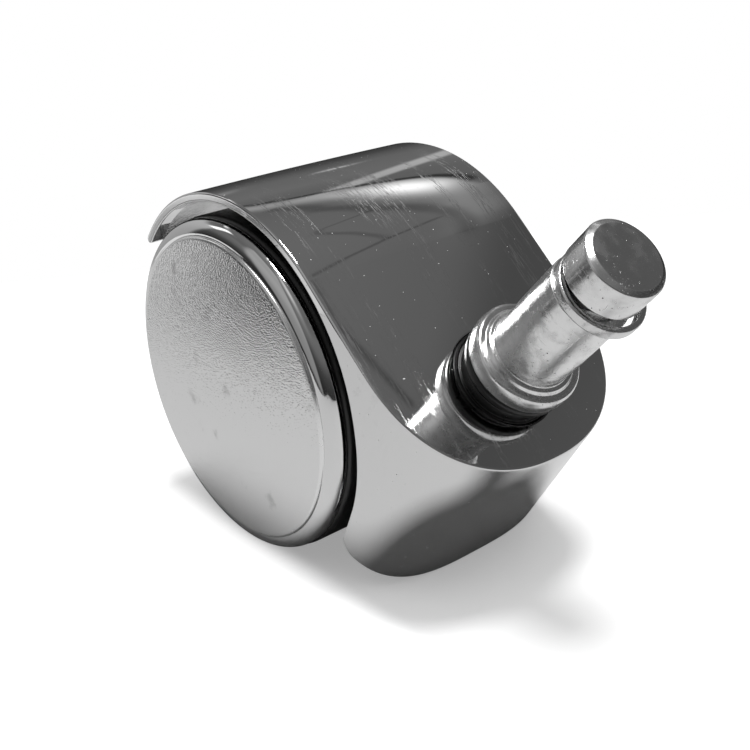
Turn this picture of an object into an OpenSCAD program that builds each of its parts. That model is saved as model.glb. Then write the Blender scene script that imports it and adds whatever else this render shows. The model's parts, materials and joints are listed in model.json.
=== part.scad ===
// Twin-wheel chair castor with a one-piece hood and a grip-ring stem.
// +Z runs up the stem, +X points to the nose of the hood and the axle lies along Y.
// The origin is on the stem's axis, at the face of the collar that the chair leg comes down on.

/* [Stem] */
// Diameter of the shank that goes into the chair leg
shank_d = 11; // [10:0.1:12]
// Length of the shank, from the collar's face to the tip
shank_len = 22; // [20:0.5:30]
// Length of the head above the ring groove
head_len = 5.1; // [4:0.1:7]
// Width of the rounding around the tip, measured across the stem
tip_bevel_w = 0.8; // [0.3:0.1:1.5]
// Height of the rounding around the tip
tip_bevel_h = 0.5; // [0.2:0.1:1]
// Diameter at the bottom of the ring groove
groove_d = 8.4; // [7.6:0.1:9]
// Width of the ring groove
groove_w = 2.6; // [2.2:0.1:3.5]
// Diameter of the collar
collar_d = 15.2; // [14:0.1:18]
// Thickness of the collar
collar_t = 3; // [2:0.1:4]
// Radius of the collar's rounded edges
collar_edge_r = 0.7; // [0.2:0.1:0.9]
// Diameter of the low step where the shank meets the collar
root_step_d = 12.6; // [12.4:0.1:13.6]
// Height of that step
root_step_h = 0.4; // [0.2:0.1:1]
// Diameter of the turned journal that swivels in the hood
journal_d = 9; // [8:0.1:9.6]
// Bevel at the journal's lower end
journal_bevel = 0.5; // [0.2:0.1:0.8]
// Depth of the groove for the retaining ring in the journal
clip_groove_depth = 0.7; // [0.4:0.1:1]

/* [Grip ring] */
// Outer diameter of the split ring
ring_d = 12.2; // [11.8:0.1:13]
// Thickness of the ring across the stem
ring_t = 1.1; // [0.9:0.05:1.2]
// Height of the ring along the stem
ring_h = 1.7; // [1.2:0.1:2]
// Width of the split
ring_split_w = 1.2; // [0.6:0.1:3]
// Direction in which it has dropped, from the nose's direction
ring_drop_dir = 30; // [0:5:90]

/* [Swivel] */
// Gap between the collar and the hood, where the black washer and bush show
neck_gap = 3.6; // [3:0.1:5]
// Outer diameter of the bush's body in the hood
bush_d = 13; // [12.6:0.1:13.6]
// Outer diameter of the bush's neck above the hood
bush_neck_d = 13.2; // [12:0.1:13.8]
// Outer diameter of the bush's seat, sunk in the hood's top
bush_seat_d = 14; // [13.8:0.1:14.8]
// Depth of that seat
bush_seat_h = 0.9; // [0.5:0.1:1.5]
// Diameter of the black washer under the collar
dust_washer_d = 14.8; // [14:0.1:15.6]
// Thickness of the black washer
dust_washer_t = 1.1; // [0.8:0.1:1.6]
// Depth of the stem's bore below the hood's top
boss_depth = 15.4; // [13:0.1:17]
// Wall of the boss around the bush
boss_wall = 1.7; // [1.4:0.1:2.5]
// Diameter of the room for the washer and the retaining ring under the boss
pocket_d = 17.6; // [17:0.1:18.5]
// Diameter of the steel washer under the boss
stem_washer_d = 15; // [13:0.1:15.6]
// Thickness of that washer
stem_washer_t = 0.8; // [0.5:0.1:1.2]
// Outer diameter of the retaining ring
stem_clip_d = 13; // [11:0.1:14]
// Thickness of the retaining ring
stem_clip_t = 0.8; // [0.6:0.1:1.2]
// Mouth of the retaining ring
stem_clip_mouth = 6; // [4:0.1:7]
// Journal left below the retaining ring
journal_tail = 1.4; // [0.8:0.1:2]

/* [Hood] */
// Wall of the round back
hood_wall = 1.3; // [0.8:0.05:2]
// Room between the treads and the inside of the round back
wheel_room = 2.1; // [0.8:0.1:3]
// How far the hood's sides reach outwards past the treads
hood_overhang = 0.55; // [0.2:0.05:1.5]
// Distance from the axle forward to the stem's axis
axle_offset = 22; // [20:0.5:24]
// Reach of the nose in front of the stem's axis, at the top
nose_top = 12.7; // [12:0.1:15]
// Reach of the nose in front of the stem's axis, at the lower lip
nose_lip = 15.8; // [15:0.1:18]
// Where the top outline begins to round in, behind the stem's axis
round_start_top = 7.4; // [5:0.1:10]
// Fullness of the top outline, where 2 is an ellipse
fullness_top = 2.26; // [2:0.01:3]
// Fullness of the lip's outline, where 2 is an ellipse
fullness_lip = 3.2; // [2.5:0.1:5]
// Height of the lower lip of the nose above the axle
lip_above_axle = 2.3; // [1.5:0.1:5]
// How far the back lip reaches below the axle
back_lip_below_axle = 1.9; // [0:0.1:4]
// Radius of the lip's corners beside the wheels
lip_corner_r = 2.8; // [1:0.1:3.5]
// Wall of the nose
nose_wall = 2; // [1.5:0.1:2.4]
// Wall under the flat top
top_wall = 2.2; // [1.6:0.1:3]
// Bevel around the stem's bore in the hood's top
bore_bevel = 0.35; // [0.2:0.05:0.5]
// Thickness of the web between the wheels
web_t = 4; // [3:0.1:8]
// Reach of the web's top behind the axle
web_back = 13.5; // [8:0.5:16]
// Outer diameter of the boss around the axle
axle_boss_d = 11; // [9:0.1:14]

/* [Wheels] */
// Diameter of each wheel over its tread
wheel_d = 51; // [49:0.1:52]
// Gap between the stem's boss and the inner face of each wheel
boss_gap = 0.4; // [0.3:0.1:1.5]
// Width of the tread
tread_w = 10.3; // [9:0.1:11]
// Thickness of the tread
tread_t = 2.2; // [1.5:0.1:3]
// Radius of the tread's edges
tread_edge_r = 0.8; // [0.2:0.1:1.2]
// Wall of the wheel's rim under the tread
rim_t = 2.3; // [1.5:0.1:3]
// Thickness of the wheel's disc
disc_t = 2; // [1.5:0.1:3]
// Length of the wheel's hub
hub_len = 8.3; // [7:0.1:8.6]
// Outer diameter of the wheel's hub
hub_d = 12; // [11:0.1:15]
// Outer diameter of the steel bush in the hub
hub_bush_d = 8; // [7.5:0.1:9]
// Number of ribs between the hub and the rim
rib_count = 14; // [10:1:18]
// Thickness of the ribs
rib_t = 1.4; // [1:0.1:2.5]
// How far the ribs lie inside the rim's inner face
rib_setback = 1; // [0.5:0.1:2]

/* [Caps] */
// How far the cap's edge lies inside the tread's surface
cap_inset = 0.4; // [0.2:0.1:1.2]
// Radius of the cap's rounded rim
cap_rim_r = 2; // [1.5:0.1:2.4]
// Straight stretch behind the rounded rim
cap_skirt = 0.4; // [0.2:0.1:0.8]
// Height of the fine step around the cap's face
cap_step = 0.12; // [0.05:0.01:0.3]
// Rise of the cap's face from the step to its centre
cap_dome = 0.9; // [0.3:0.1:1.2]
// Wall of the cap
cap_wall = 1.2; // [0.8:0.1:1.4]
// Depth of the ring that plugs the cap into the rim
cap_plug_depth = 3; // [2:0.1:5]
// Wall of that ring
cap_plug_t = 1.2; // [0.8:0.1:2]

/* [Axle] */
// Diameter of the axle
axle_d = 5; // [4:0.1:6]
// Depth of the clip grooves in the axle
axle_groove_depth = 0.5; // [0.3:0.1:0.7]
// Axle left outside each clip
axle_tail = 0.9; // [0.6:0.1:1]
// Outer diameter of the axle clips
axle_clip_d = 9; // [8:0.1:11]
// Thickness of the axle clips
axle_clip_t = 0.7; // [0.5:0.1:0.8]
// Mouth of the axle clips
axle_clip_mouth = 3; // [2:0.1:3.6]
// Thickness of the spacer washers
spacer_t = 0.45; // [0.3:0.05:0.6]
// Outer diameter of the spacer washers
spacer_d = 10; // [9:0.1:11]

/* [Fits] */
// Radial clearance of the turning fits
running_gap = 0.05; // [0.02:0.01:0.08]
// Gap between faces that turn past each other
face_gap = 0.1; // [0.05:0.05:0.2]
// Radial clearance of the seated pieces
seat_gap = 0.02; // [0.01:0.01:0.05]

/* [Hidden] */
$fn = 96;
LEFT = 1;
RIGHT = -1;
eps = 0.01;
over = 1;
far = 100;
outline_steps = 24;
arc_steps = 10;

shank_r = shank_d / 2;
groove_top_z = shank_len - head_len;
groove_low_z = groove_top_z - groove_w;
collar_r = collar_d / 2;
root_step_r = root_step_d / 2;
edge_r = min(collar_edge_r, collar_r - root_step_r, collar_t / 2);
collar_low_z = -collar_t;
top_z = collar_low_z - neck_gap;
boss_low_z = top_z - boss_depth;
stem_washer_z = boss_low_z - face_gap / 2 - stem_washer_t;
stem_clip_z = stem_washer_z - face_gap / 2 - stem_clip_t;
journal_low_z = stem_clip_z - journal_tail;
clip_groove_d = journal_d - 2 * clip_groove_depth;
boss_d = bush_d + 2 * boss_wall;
ring_drop = ring_d / 2 - ring_t - groove_d / 2 - running_gap;

wheel_gap = boss_d + 2 * boss_gap;
wheel_in_y = wheel_gap / 2;
hub_end_y = wheel_in_y + hub_len;
axle_clip_y = hub_end_y + face_gap;
axle_end_y = axle_clip_y + axle_clip_t + face_gap / 2 + axle_tail;
spacer_y = wheel_in_y - face_gap / 2 - spacer_t;
axle_boss_half = spacer_y;
axle_groove_d = axle_d - 2 * axle_groove_depth;

well_r = wheel_d / 2 + wheel_room;
hood_r = well_r + hood_wall;
hood_w = wheel_gap + 2 * (tread_w + hood_overhang);
half_w = hood_w / 2;
axle_x = -axle_offset;
axle_z = top_z - hood_r;
lip_z = axle_z + lip_above_axle;

rim_r = wheel_d / 2 - tread_t;
rim_bore_r = rim_r - rim_t;
cap_low_h = tread_w + face_gap;
disc_h = cap_low_h - cap_plug_depth - face_gap - disc_t;
cap_r = wheel_d / 2 - cap_inset;
step_r = cap_r - cap_rim_r;
cap_rim_h = cap_low_h + cap_skirt;
cap_face_h = cap_rim_h + cap_rim_r + cap_step;
plug_r = rim_bore_r - seat_gap;

// Half of a rounded outline in the XY plane, from the front round to the side.
// The front is at x = front, the side at y = half, and the rounding starts at x = start.
function bow(front, start, half, fullness) = [
    for (i = [0:outline_steps])
        let (a = 90 * i / outline_steps, e = 2 / fullness)
        [start + (front - start) * pow(cos(a), e), half * pow(sin(a), e)]
];

// Points from the first to the last but one, with y turned over and the order reversed.
function mirrored(points) = [
    for (i = [len(points) - 1:-1:1])
        [points[i][0], -points[i][1]]
];

// Points on an arc about a centre.
function arc(centre, radius, from, to) = [
    for (i = [0:arc_steps])
        let (a = from + (to - from) * i / arc_steps)
        centre + radius * [cos(a), sin(a)]
];

// Closed outline of the hood seen along the stem, back to the axle.
module hood_outline(front, start, half, fullness) {
    side = bow(front, start, half, fullness);
    polygon(concat(mirrored(side), side, [[axle_x, half], [axle_x, -half]]));
}

// A flat ring.
module washer(outer_d, inner_d, thickness) {
    difference() {
        cylinder(h = thickness, d = outer_d);
        translate([0, 0, -eps])
            cylinder(h = thickness + 2 * eps, d = inner_d);
    }
}

// A flat ring with a straight mouth towards +X.
module open_ring(outer_d, inner_d, thickness, mouth) {
    difference() {
        washer(outer_d, inner_d, thickness);
        translate([0, -mouth / 2, -eps])
            cube([outer_d, mouth, thickness + 2 * eps]);
    }
}

// Puts a piece on the axle: its own +Z points outwards and starts at the given distance from the middle.
module on_axle(side, y) {
    translate([axle_x, side * y, axle_z])
        rotate([-90 * side, 0, 0])
            children();
}

module stem() {
    tip_r = shank_r - tip_bevel_w;
    color("silver")
    difference() {
        rotate_extrude()
            polygon(concat(
                [
                    [0, journal_low_z],
                    [journal_d / 2 - journal_bevel, journal_low_z],
                    [journal_d / 2, journal_low_z + journal_bevel],
                    [journal_d / 2, collar_low_z]
                ],
                arc([collar_r - edge_r, collar_low_z + edge_r], edge_r, -90, 0),
                arc([collar_r - edge_r, -edge_r], edge_r, 0, 90),
                [
                    [root_step_r, 0],
                    [root_step_r - root_step_h / 2, root_step_h],
                    [shank_r, root_step_h],
                    [shank_r, groove_low_z],
                    [groove_d / 2, groove_low_z],
                    [groove_d / 2, groove_top_z],
                    [shank_r, groove_top_z],
                    [shank_r, shank_len - tip_bevel_h],
                    [tip_r, shank_len],
                    [0, shank_len]
                ]
            ));
        translate([0, 0, stem_clip_z - face_gap / 2])
            washer(journal_d + 2 * over, clip_groove_d, stem_clip_t + face_gap);
    }
}

module grip_ring() {
    color("silver")
    rotate([0, 0, ring_drop_dir])
        translate([ring_drop, 0, groove_low_z + face_gap / 2])
            rotate([0, 0, 90])
                open_ring(ring_d, ring_d - 2 * ring_t, ring_h, ring_split_w);
}

module dust_washer() {
    color([0.05, 0.05, 0.05])
    translate([0, 0, collar_low_z - face_gap - dust_washer_t])
        washer(dust_washer_d, journal_d + 2 * running_gap, dust_washer_t);
}

module swivel_bush() {
    neck_top_z = collar_low_z - face_gap - dust_washer_t;
    color([0.05, 0.05, 0.05])
    difference() {
        union() {
            translate([0, 0, boss_low_z])
                cylinder(h = boss_depth, d = bush_d - 2 * seat_gap);
            translate([0, 0, top_z - bush_seat_h])
                cylinder(h = bush_seat_h, d = bush_seat_d - 2 * seat_gap);
            translate([0, 0, top_z - eps])
                cylinder(h = neck_top_z - top_z + eps, d = bush_neck_d);
        }
        translate([0, 0, boss_low_z - eps])
            cylinder(h = far, d = journal_d + 2 * running_gap);
    }
}

// Outside of the hood: the round back over the wheels and the nose in front of the axle.
module hood_outside() {
    hull() {
        translate([0, 0, top_z - eps])
            linear_extrude(eps)
                hood_outline(nose_top, -round_start_top, half_w, fullness_top);
        translate([0, 0, lip_z])
            linear_extrude(eps)
                hood_outline(nose_lip, 0, half_w, fullness_lip);
    }
    intersection() {
        translate([axle_x, half_w, axle_z])
            rotate([90, 0, 0])
                cylinder(h = hood_w, r = hood_r);
        translate([axle_x - far, -half_w, axle_z - back_lip_below_axle])
            cube([far, hood_w, far]);
    }
}

// Hollow of the nose, one wall in from its outside and open below.
module nose_hollow() {
    hull() {
        translate([0, 0, top_z - top_wall - eps])
            linear_extrude(eps)
                hood_outline(nose_top - nose_wall, -round_start_top, half_w - nose_wall, fullness_top);
        translate([0, 0, lip_z - over])
            linear_extrude(eps)
                hood_outline(nose_lip - nose_wall, 0, half_w - nose_wall, fullness_lip);
    }
}

// Side outline of the web that ties the stem's boss, the axle's boss and the shell together.
module web_outline() {
    boss_r = axle_boss_d / 2;
    intersection() {
        translate([axle_x, axle_z])
            circle(r = hood_r - hood_wall / 2);
        polygon([
            [axle_x - boss_r, axle_z],
            [axle_x - web_back, top_z],
            [axle_x + boss_r, top_z],
            [axle_x + boss_r, axle_z]
        ]);
    }
    polygon([
        [axle_x, axle_z - boss_r],
        [axle_x, top_z - top_wall / 2],
        [nose_top - nose_wall / 2, top_z - top_wall / 2],
        [nose_lip - nose_wall, lip_z + nose_wall],
        [axle_x + boss_r, axle_z - boss_r + nose_wall]
    ]);
}

// Rounds the lower corner of the side walls beside the wheels.
module lip_corner_cut() {
    corner_x = axle_x + sqrt(well_r * well_r - lip_above_axle * lip_above_axle);
    difference() {
        translate([corner_x - lip_corner_r, -half_w - over, lip_z - over])
            cube([2 * lip_corner_r, hood_w + 2 * over, lip_corner_r + over]);
        translate([corner_x + lip_corner_r, half_w + 2 * over, lip_z + lip_corner_r])
            rotate([90, 0, 0])
                cylinder(h = hood_w + 4 * over, r = lip_corner_r);
    }
}

module hood() {
    color([0.62, 0.62, 0.63])
    difference() {
        union() {
            difference() {
                hood_outside();
                translate([axle_x, half_w + over, axle_z])
                    rotate([90, 0, 0])
                        cylinder(h = hood_w + 2 * over, r = well_r);
                nose_hollow();
                lip_corner_cut();
            }
            translate([0, web_t / 2, 0])
                rotate([90, 0, 0])
                    linear_extrude(web_t)
                        web_outline();
            translate([0, 0, boss_low_z])
                cylinder(h = boss_depth - top_wall / 2, d = boss_d);
            translate([axle_x, axle_boss_half, axle_z])
                rotate([90, 0, 0])
                    cylinder(h = 2 * axle_boss_half, d = axle_boss_d);
        }
        translate([0, 0, boss_low_z - eps])
            cylinder(h = far, d = bush_d);
        translate([0, 0, top_z - bush_seat_h])
            cylinder(h = far, d = bush_seat_d);
        translate([0, 0, top_z - bore_bevel])
            cylinder(h = bore_bevel + eps, r1 = bush_seat_d / 2, r2 = bush_seat_d / 2 + bore_bevel + eps);
        translate([0, 0, boss_low_z - far])
            cylinder(h = far, d = pocket_d);
        translate([axle_x, half_w, axle_z])
            rotate([90, 0, 0])
                cylinder(h = hood_w, d = axle_d + 2 * seat_gap);
    }
}

module stem_washer() {
    color("silver")
    translate([0, 0, stem_washer_z])
        washer(stem_washer_d, journal_d + 2 * running_gap, stem_washer_t);
}

module stem_clip() {
    color([0.35, 0.35, 0.36])
    translate([0, 0, stem_clip_z])
        open_ring(stem_clip_d, clip_groove_d + 2 * seat_gap, stem_clip_t, stem_clip_mouth);
}

module axle() {
    color("silver")
    translate([axle_x, axle_end_y, axle_z])
        rotate([90, 0, 0])
            difference() {
                cylinder(h = 2 * axle_end_y, d = axle_d);
                for (from_end = [axle_tail, 2 * axle_end_y - axle_tail - axle_clip_t - face_gap])
                    translate([0, 0, from_end])
                        washer(axle_d + 2 * over, axle_groove_d, axle_clip_t + face_gap);
            }
}

module spacer_washer(side) {
    color("silver")
    on_axle(side, spacer_y)
        washer(spacer_d, axle_d + 2 * running_gap, spacer_t);
}

module hub_bush(side) {
    color("silver")
    on_axle(side, wheel_in_y)
        washer(hub_bush_d - 2 * seat_gap, axle_d + 2 * running_gap, hub_len);
}

module wheel_core(side) {
    hub_r = hub_d / 2;
    hub_mid_r = (hub_d + hub_bush_d) / 4;
    color([0.08, 0.08, 0.08])
    on_axle(side, wheel_in_y) {
        rotate_extrude()
            polygon([
                [hub_bush_d / 2, 0],
                [hub_r, 0],
                [hub_r, disc_h],
                [rim_bore_r, disc_h],
                [rim_bore_r, 0],
                [rim_r, 0],
                [rim_r, cap_low_h],
                [rim_bore_r, cap_low_h],
                [rim_bore_r, disc_h + disc_t],
                [hub_r, disc_h + disc_t],
                [hub_r, hub_len],
                [hub_bush_d / 2, hub_len]
            ]);
        for (i = [0:rib_count - 1])
            rotate([0, 0, 360 * (i + 0.5) / rib_count])
                translate([hub_mid_r, -rib_t / 2, rib_setback])
                    cube([rim_bore_r + rim_t / 2 - hub_mid_r, rib_t, disc_h - rib_setback + disc_t / 2]);
    }
}

module tread(side) {
    in_r = rim_r + seat_gap;
    out_r = wheel_d / 2;
    color([0.06, 0.06, 0.06])
    on_axle(side, wheel_in_y)
        rotate_extrude()
            polygon(concat(
                [[in_r, 0]],
                arc([out_r - tread_edge_r, tread_edge_r], tread_edge_r, -90, 0),
                arc([out_r - tread_edge_r, tread_w - tread_edge_r], tread_edge_r, 0, 90),
                [[in_r, tread_w]]
            ));
}

// A C-shaped clip in the axle's groove, open downwards.
module axle_clip(side) {
    color([0.35, 0.35, 0.36])
    on_axle(side, axle_clip_y)
        rotate([0, 0, 90 * side])
            open_ring(axle_clip_d, axle_groove_d + 2 * seat_gap, axle_clip_t, axle_clip_mouth);
}

// A thin shell with a rounded rim, a fine step and a low domed face.
module wheel_cap(side) {
    face = [
        for (i = [arc_steps:-1:0])
            let (r = step_r * i / arc_steps)
            [r, cap_face_h + cap_dome * (1 - pow(r / step_r, 2))]
    ];
    back = [
        for (i = [0:arc_steps])
            let (r = (step_r - cap_wall) * i / arc_steps)
            [r, cap_face_h - cap_wall + cap_dome * (1 - pow(r / step_r, 2))]
    ];
    color([0.72, 0.72, 0.73])
    on_axle(side, wheel_in_y) {
        rotate_extrude()
            polygon(concat(
                [[cap_r, cap_low_h]],
                arc([step_r, cap_rim_h], cap_rim_r, 0, 90),
                face,
                back,
                [
                    [plug_r - cap_plug_t, cap_low_h + cap_wall],
                    [plug_r - cap_plug_t, cap_low_h - cap_plug_depth],
                    [plug_r, cap_low_h - cap_plug_depth],
                    [plug_r, cap_low_h]
                ]
            ));
    }
}

stem();
grip_ring();
dust_washer();
swivel_bush();
hood();
stem_washer();
stem_clip();
axle();
spacer_washer(LEFT);  // spacer_washer_left
spacer_washer(RIGHT);  // spacer_washer_right
hub_bush(LEFT);  // hub_bush_left
hub_bush(RIGHT);  // hub_bush_right
wheel_core(LEFT);  // wheel_core_left
wheel_core(RIGHT);  // wheel_core_right
tread(LEFT);  // tread_left
tread(RIGHT);  // tread_right
axle_clip(LEFT);  // axle_clip_left
axle_clip(RIGHT);  // axle_clip_right
wheel_cap(LEFT);  // wheel_cap_left
wheel_cap(RIGHT);  // wheel_cap_right
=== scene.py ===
# %% [markdown]
# A chrome chair castor lies on a white table, tipped forward on its two wheels and on the lip of its hood.
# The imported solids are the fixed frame. This lesson gives them the shapes and finishes that a photograph
# shows: a polished die casting, pebbled wheel caps, a scuffed turned stem and black nylon.
# Everything here is written in millimetres and turned into Blender's metres in one place.

# %% Load the frame
import json
import math

import bmesh
import bpy
import numpy as np
from mathutils import Matrix, Vector

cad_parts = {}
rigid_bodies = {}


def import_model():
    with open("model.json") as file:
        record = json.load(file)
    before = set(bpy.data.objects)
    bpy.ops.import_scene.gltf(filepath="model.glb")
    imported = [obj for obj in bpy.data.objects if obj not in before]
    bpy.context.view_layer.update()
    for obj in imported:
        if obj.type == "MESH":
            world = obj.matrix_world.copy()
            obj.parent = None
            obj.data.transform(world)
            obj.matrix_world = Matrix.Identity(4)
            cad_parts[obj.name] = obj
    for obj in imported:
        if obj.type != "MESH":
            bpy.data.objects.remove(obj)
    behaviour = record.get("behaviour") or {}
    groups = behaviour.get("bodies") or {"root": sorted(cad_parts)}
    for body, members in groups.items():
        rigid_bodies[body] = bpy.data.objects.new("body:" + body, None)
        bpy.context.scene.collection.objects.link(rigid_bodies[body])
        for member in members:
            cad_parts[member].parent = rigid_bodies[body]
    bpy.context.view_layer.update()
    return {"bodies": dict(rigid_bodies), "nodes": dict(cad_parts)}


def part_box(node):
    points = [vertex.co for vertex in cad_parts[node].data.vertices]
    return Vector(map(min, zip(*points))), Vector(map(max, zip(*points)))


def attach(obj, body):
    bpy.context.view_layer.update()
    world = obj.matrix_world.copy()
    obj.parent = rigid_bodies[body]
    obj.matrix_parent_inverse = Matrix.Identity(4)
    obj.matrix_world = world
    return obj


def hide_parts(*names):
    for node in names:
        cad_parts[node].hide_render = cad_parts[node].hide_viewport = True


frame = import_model()
MM = 0.001
LEFT = 1
RIGHT = -1
SIDES = {"left": LEFT, "right": RIGHT}


def box_mm(node):
    """Lowest and highest corner of a solid, in millimetres."""
    return [Vector(corner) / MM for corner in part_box(node)]


def add_object(name, data):
    """Puts a mesh, a camera or a lamp into the scene."""
    thing = bpy.data.objects.new(name, data)
    bpy.context.scene.collection.objects.link(thing)
    return thing


print("solids:", len(frame["nodes"]))

# %% [markdown]
# The solids already hold the sizes. The axle, the floor height and the main radii are read from their boxes,
# so that the pieces made here stay where the solids are.

# %% Read the main sizes from the solids
HOOD_LOW, HOOD_HIGH = box_mm("hood")
TREAD_LOW, TREAD_HIGH = box_mm("tread_left")
STEM_LOW, STEM_HIGH = box_mm("stem")

WHEEL_R = (TREAD_HIGH.x - TREAD_LOW.x) / 2
AXLE_X = (TREAD_HIGH.x + TREAD_LOW.x) / 2
AXLE_Z = (TREAD_HIGH.z + TREAD_LOW.z) / 2
WHEEL_IN_Y = TREAD_LOW.y
CAP_OUT_Y = box_mm("wheel_cap_left")[1].y
TOP_Z = HOOD_HIGH.z
HALF_W = HOOD_HIGH.y
BACK_R = AXLE_X - HOOD_LOW.x
COLLAR_R = STEM_HIGH.x
print("axle at", round(AXLE_X, 2), round(AXLE_Z, 2), "wheel radius", round(WHEEL_R, 2))
print("hood top", round(TOP_Z, 2), "half width", round(HALF_W, 2), "back radius", round(BACK_R, 2))

# %% [markdown]
# The camera comes first, because it decides which details matter. It stands in front of the nose and above
# it, on the side of the right wheel, close enough for a strong perspective.
# Its roll is set against the table's own normal, since the castor is tipped and the picture is upright.

# %% Place the camera
TABLE_UP = Vector((-0.71346, 0.0, 0.70069)).normalized()
EYE = Vector((28.5, -98.24, 104.27))
LOOK_AT = Vector((-6.77, -18.04, -6.6))
ROLL = math.radians(5.18)
LENS_MM = 54.24
SENSOR_MM = 36

forward = (LOOK_AT - EYE).normalized()
level_right = forward.cross(TABLE_UP).normalized()
level_up = level_right.cross(forward)
camera_right = level_right * math.cos(ROLL) - level_up * math.sin(ROLL)
camera_up = level_up * math.cos(ROLL) + level_right * math.sin(ROLL)

camera_data = bpy.data.cameras.new("camera")
camera_data.lens = LENS_MM
camera_data.sensor_width = SENSOR_MM
camera_data.clip_start = 0.005
camera_data.clip_end = 20
camera = add_object("camera", camera_data)
axes = Matrix((camera_right, camera_up, -forward)).transposed()
camera.matrix_world = Matrix.Translation(EYE * MM) @ axes.to_4x4()
bpy.context.scene.camera = camera
print("camera stands", round((LOOK_AT - EYE).length, 1), "mm from the hood's top")

# %% [markdown]
# Pieces are made from plain lists of points. One helper turns points and faces into a mesh object,
# makes its normals point outwards and gives it the even shading that polished metal needs.
# Without weighted normals, a small rounding would bend the reflections of the large face beside it.

# %% Helpers for meshes
MERGE_MM = 0.0008


def unit(vector):
    length = np.linalg.norm(vector)
    return vector / length if length > 0 else vector


def make_piece(name, points, faces, finishes=None):
    """A closed mesh from points in millimetres. Each face may have the number of its finish."""
    mesh = bpy.data.meshes.new(name)
    mesh.from_pydata([tuple(p) for p in np.asarray(points) * MM], [], faces)
    for _ in range(1 + max(finishes or [0])):
        mesh.materials.append(None)
    if finishes:
        mesh.polygons.foreach_set("material_index", finishes)
    work = bmesh.new()
    work.from_mesh(mesh)
    bmesh.ops.remove_doubles(work, verts=work.verts, dist=MERGE_MM * MM)
    bmesh.ops.dissolve_degenerate(work, edges=work.edges, dist=MERGE_MM * MM / 2)
    bmesh.ops.recalc_face_normals(work, faces=work.faces)
    work.to_mesh(mesh)
    work.free()
    for polygon in mesh.polygons:
        polygon.use_smooth = True
    piece = add_object(name, mesh)
    even = piece.modifiers.new("even shading", "WEIGHTED_NORMAL")
    even.keep_sharp = True
    return piece


def place(piece, body, slot, *nodes):
    """Hangs a piece on its body and hides the solids that it stands for."""
    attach(piece, body)
    if nodes:
        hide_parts(*nodes)
    print(piece.name, "faces:", len(piece.data.polygons), "on", body)


def grid_faces(rows, columns, first=0, closed_columns=False):
    """Quads of a grid of points stored row after row."""
    faces = []
    last = columns if closed_columns else columns - 1
    for i in range(rows - 1):
        for j in range(last):
            k = (j + 1) % columns
            faces.append((first + i * columns + j, first + i * columns + k,
                          first + (i + 1) * columns + k, first + (i + 1) * columns + j))
    return faces


print("mesh helpers ready")

# %% [markdown]
# Turned and moulded round pieces come from an outline that is spun about an axis, as on a lathe.
# Real edges are never sharp: each corner of the outline carries its own small radius,
# and that rounding is what draws the bright lines around the collar, the caps and the ring.

# %% Helper for rounded outlines
ROUND_STEPS = 5
LONGEST_ROUND = 0.48
NEARLY_STRAIGHT = 1.5


def rounded(corners):
    """Points of a closed outline. Each corner is (radius, height, rounding)."""
    points = []
    count = len(corners)
    for i, (r, h, rounding) in enumerate(corners):
        corner = np.array((r, h))
        before = np.array(corners[i - 1][:2]) - corner
        after = np.array(corners[(i + 1) % count][:2]) - corner
        room = LONGEST_ROUND * min(np.linalg.norm(before), np.linalg.norm(after))
        a, b = unit(before), unit(after)
        half = math.acos(max(-1, min(1, float(a @ b)))) / 2
        if rounding <= 0 or room <= 0 or half > NEARLY_STRAIGHT:
            points.append(corner)
            continue
        reach = min(rounding / math.tan(half), room)
        radius = reach * math.tan(half)
        centre = corner + unit(a + b) * radius / math.sin(half)
        start = corner + a * reach - centre
        stop = corner + b * reach - centre
        turn = math.acos(max(-1, min(1, float(unit(start) @ unit(stop)))))
        for k in range(ROUND_STEPS + 1):
            s = k / ROUND_STEPS
            mixed = (math.sin((1 - s) * turn) * start + math.sin(s * turn) * stop) / math.sin(turn)
            points.append(centre + mixed)
    return points


print("points in a rounding:", ROUND_STEPS + 1)

# %% [markdown]
# Blender's Screw modifier could spin the outline too. Here the faces are made directly,
# because each ring of them may then get its own finish by its distance from the axis.

# %% Helper for turned pieces
SPIN_STEPS = 192


def turned(name, outline, side=0, finish_at=None):
    """Spins a closed outline of (radius, height) about the stem, or about the axle for LEFT or RIGHT."""
    points = []
    for r, h in outline:
        for k in range(SPIN_STEPS):
            a = 2 * math.pi * k / SPIN_STEPS
            u, v = r * math.cos(a), r * math.sin(a)
            points.append((AXLE_X + u, side * h, AXLE_Z + v) if side else (u, v, h))
    count = len(outline)
    faces, finishes = [], []
    for i in range(count):
        j = (i + 1) % count
        if outline[i][0] < MERGE_MM and outline[j][0] < MERGE_MM:
            continue
        finish = finish_at((outline[i][0] + outline[j][0]) / 2) if finish_at else 0
        for k in range(SPIN_STEPS):
            m = (k + 1) % SPIN_STEPS
            faces.append((i * SPIN_STEPS + k, i * SPIN_STEPS + m, j * SPIN_STEPS + m, j * SPIN_STEPS + k))
            finishes.append(finish)
    return make_piece(name, points, faces, finishes)


print("spin steps:", SPIN_STEPS)

# %% [markdown]
# The hood is one die casting: a flat polished top, a round back over the wheels and flanks that close to
# a nose. A boolean of simple solids gives these forms, but its edges are hard and its normals are uneven,
# and on a mirror finish both show. Here the shell is drawn as a grid of points that runs round the crease.
# The crease, where the top turns into the flanks, is a superellipse. So is the lip below, only fuller.

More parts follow.
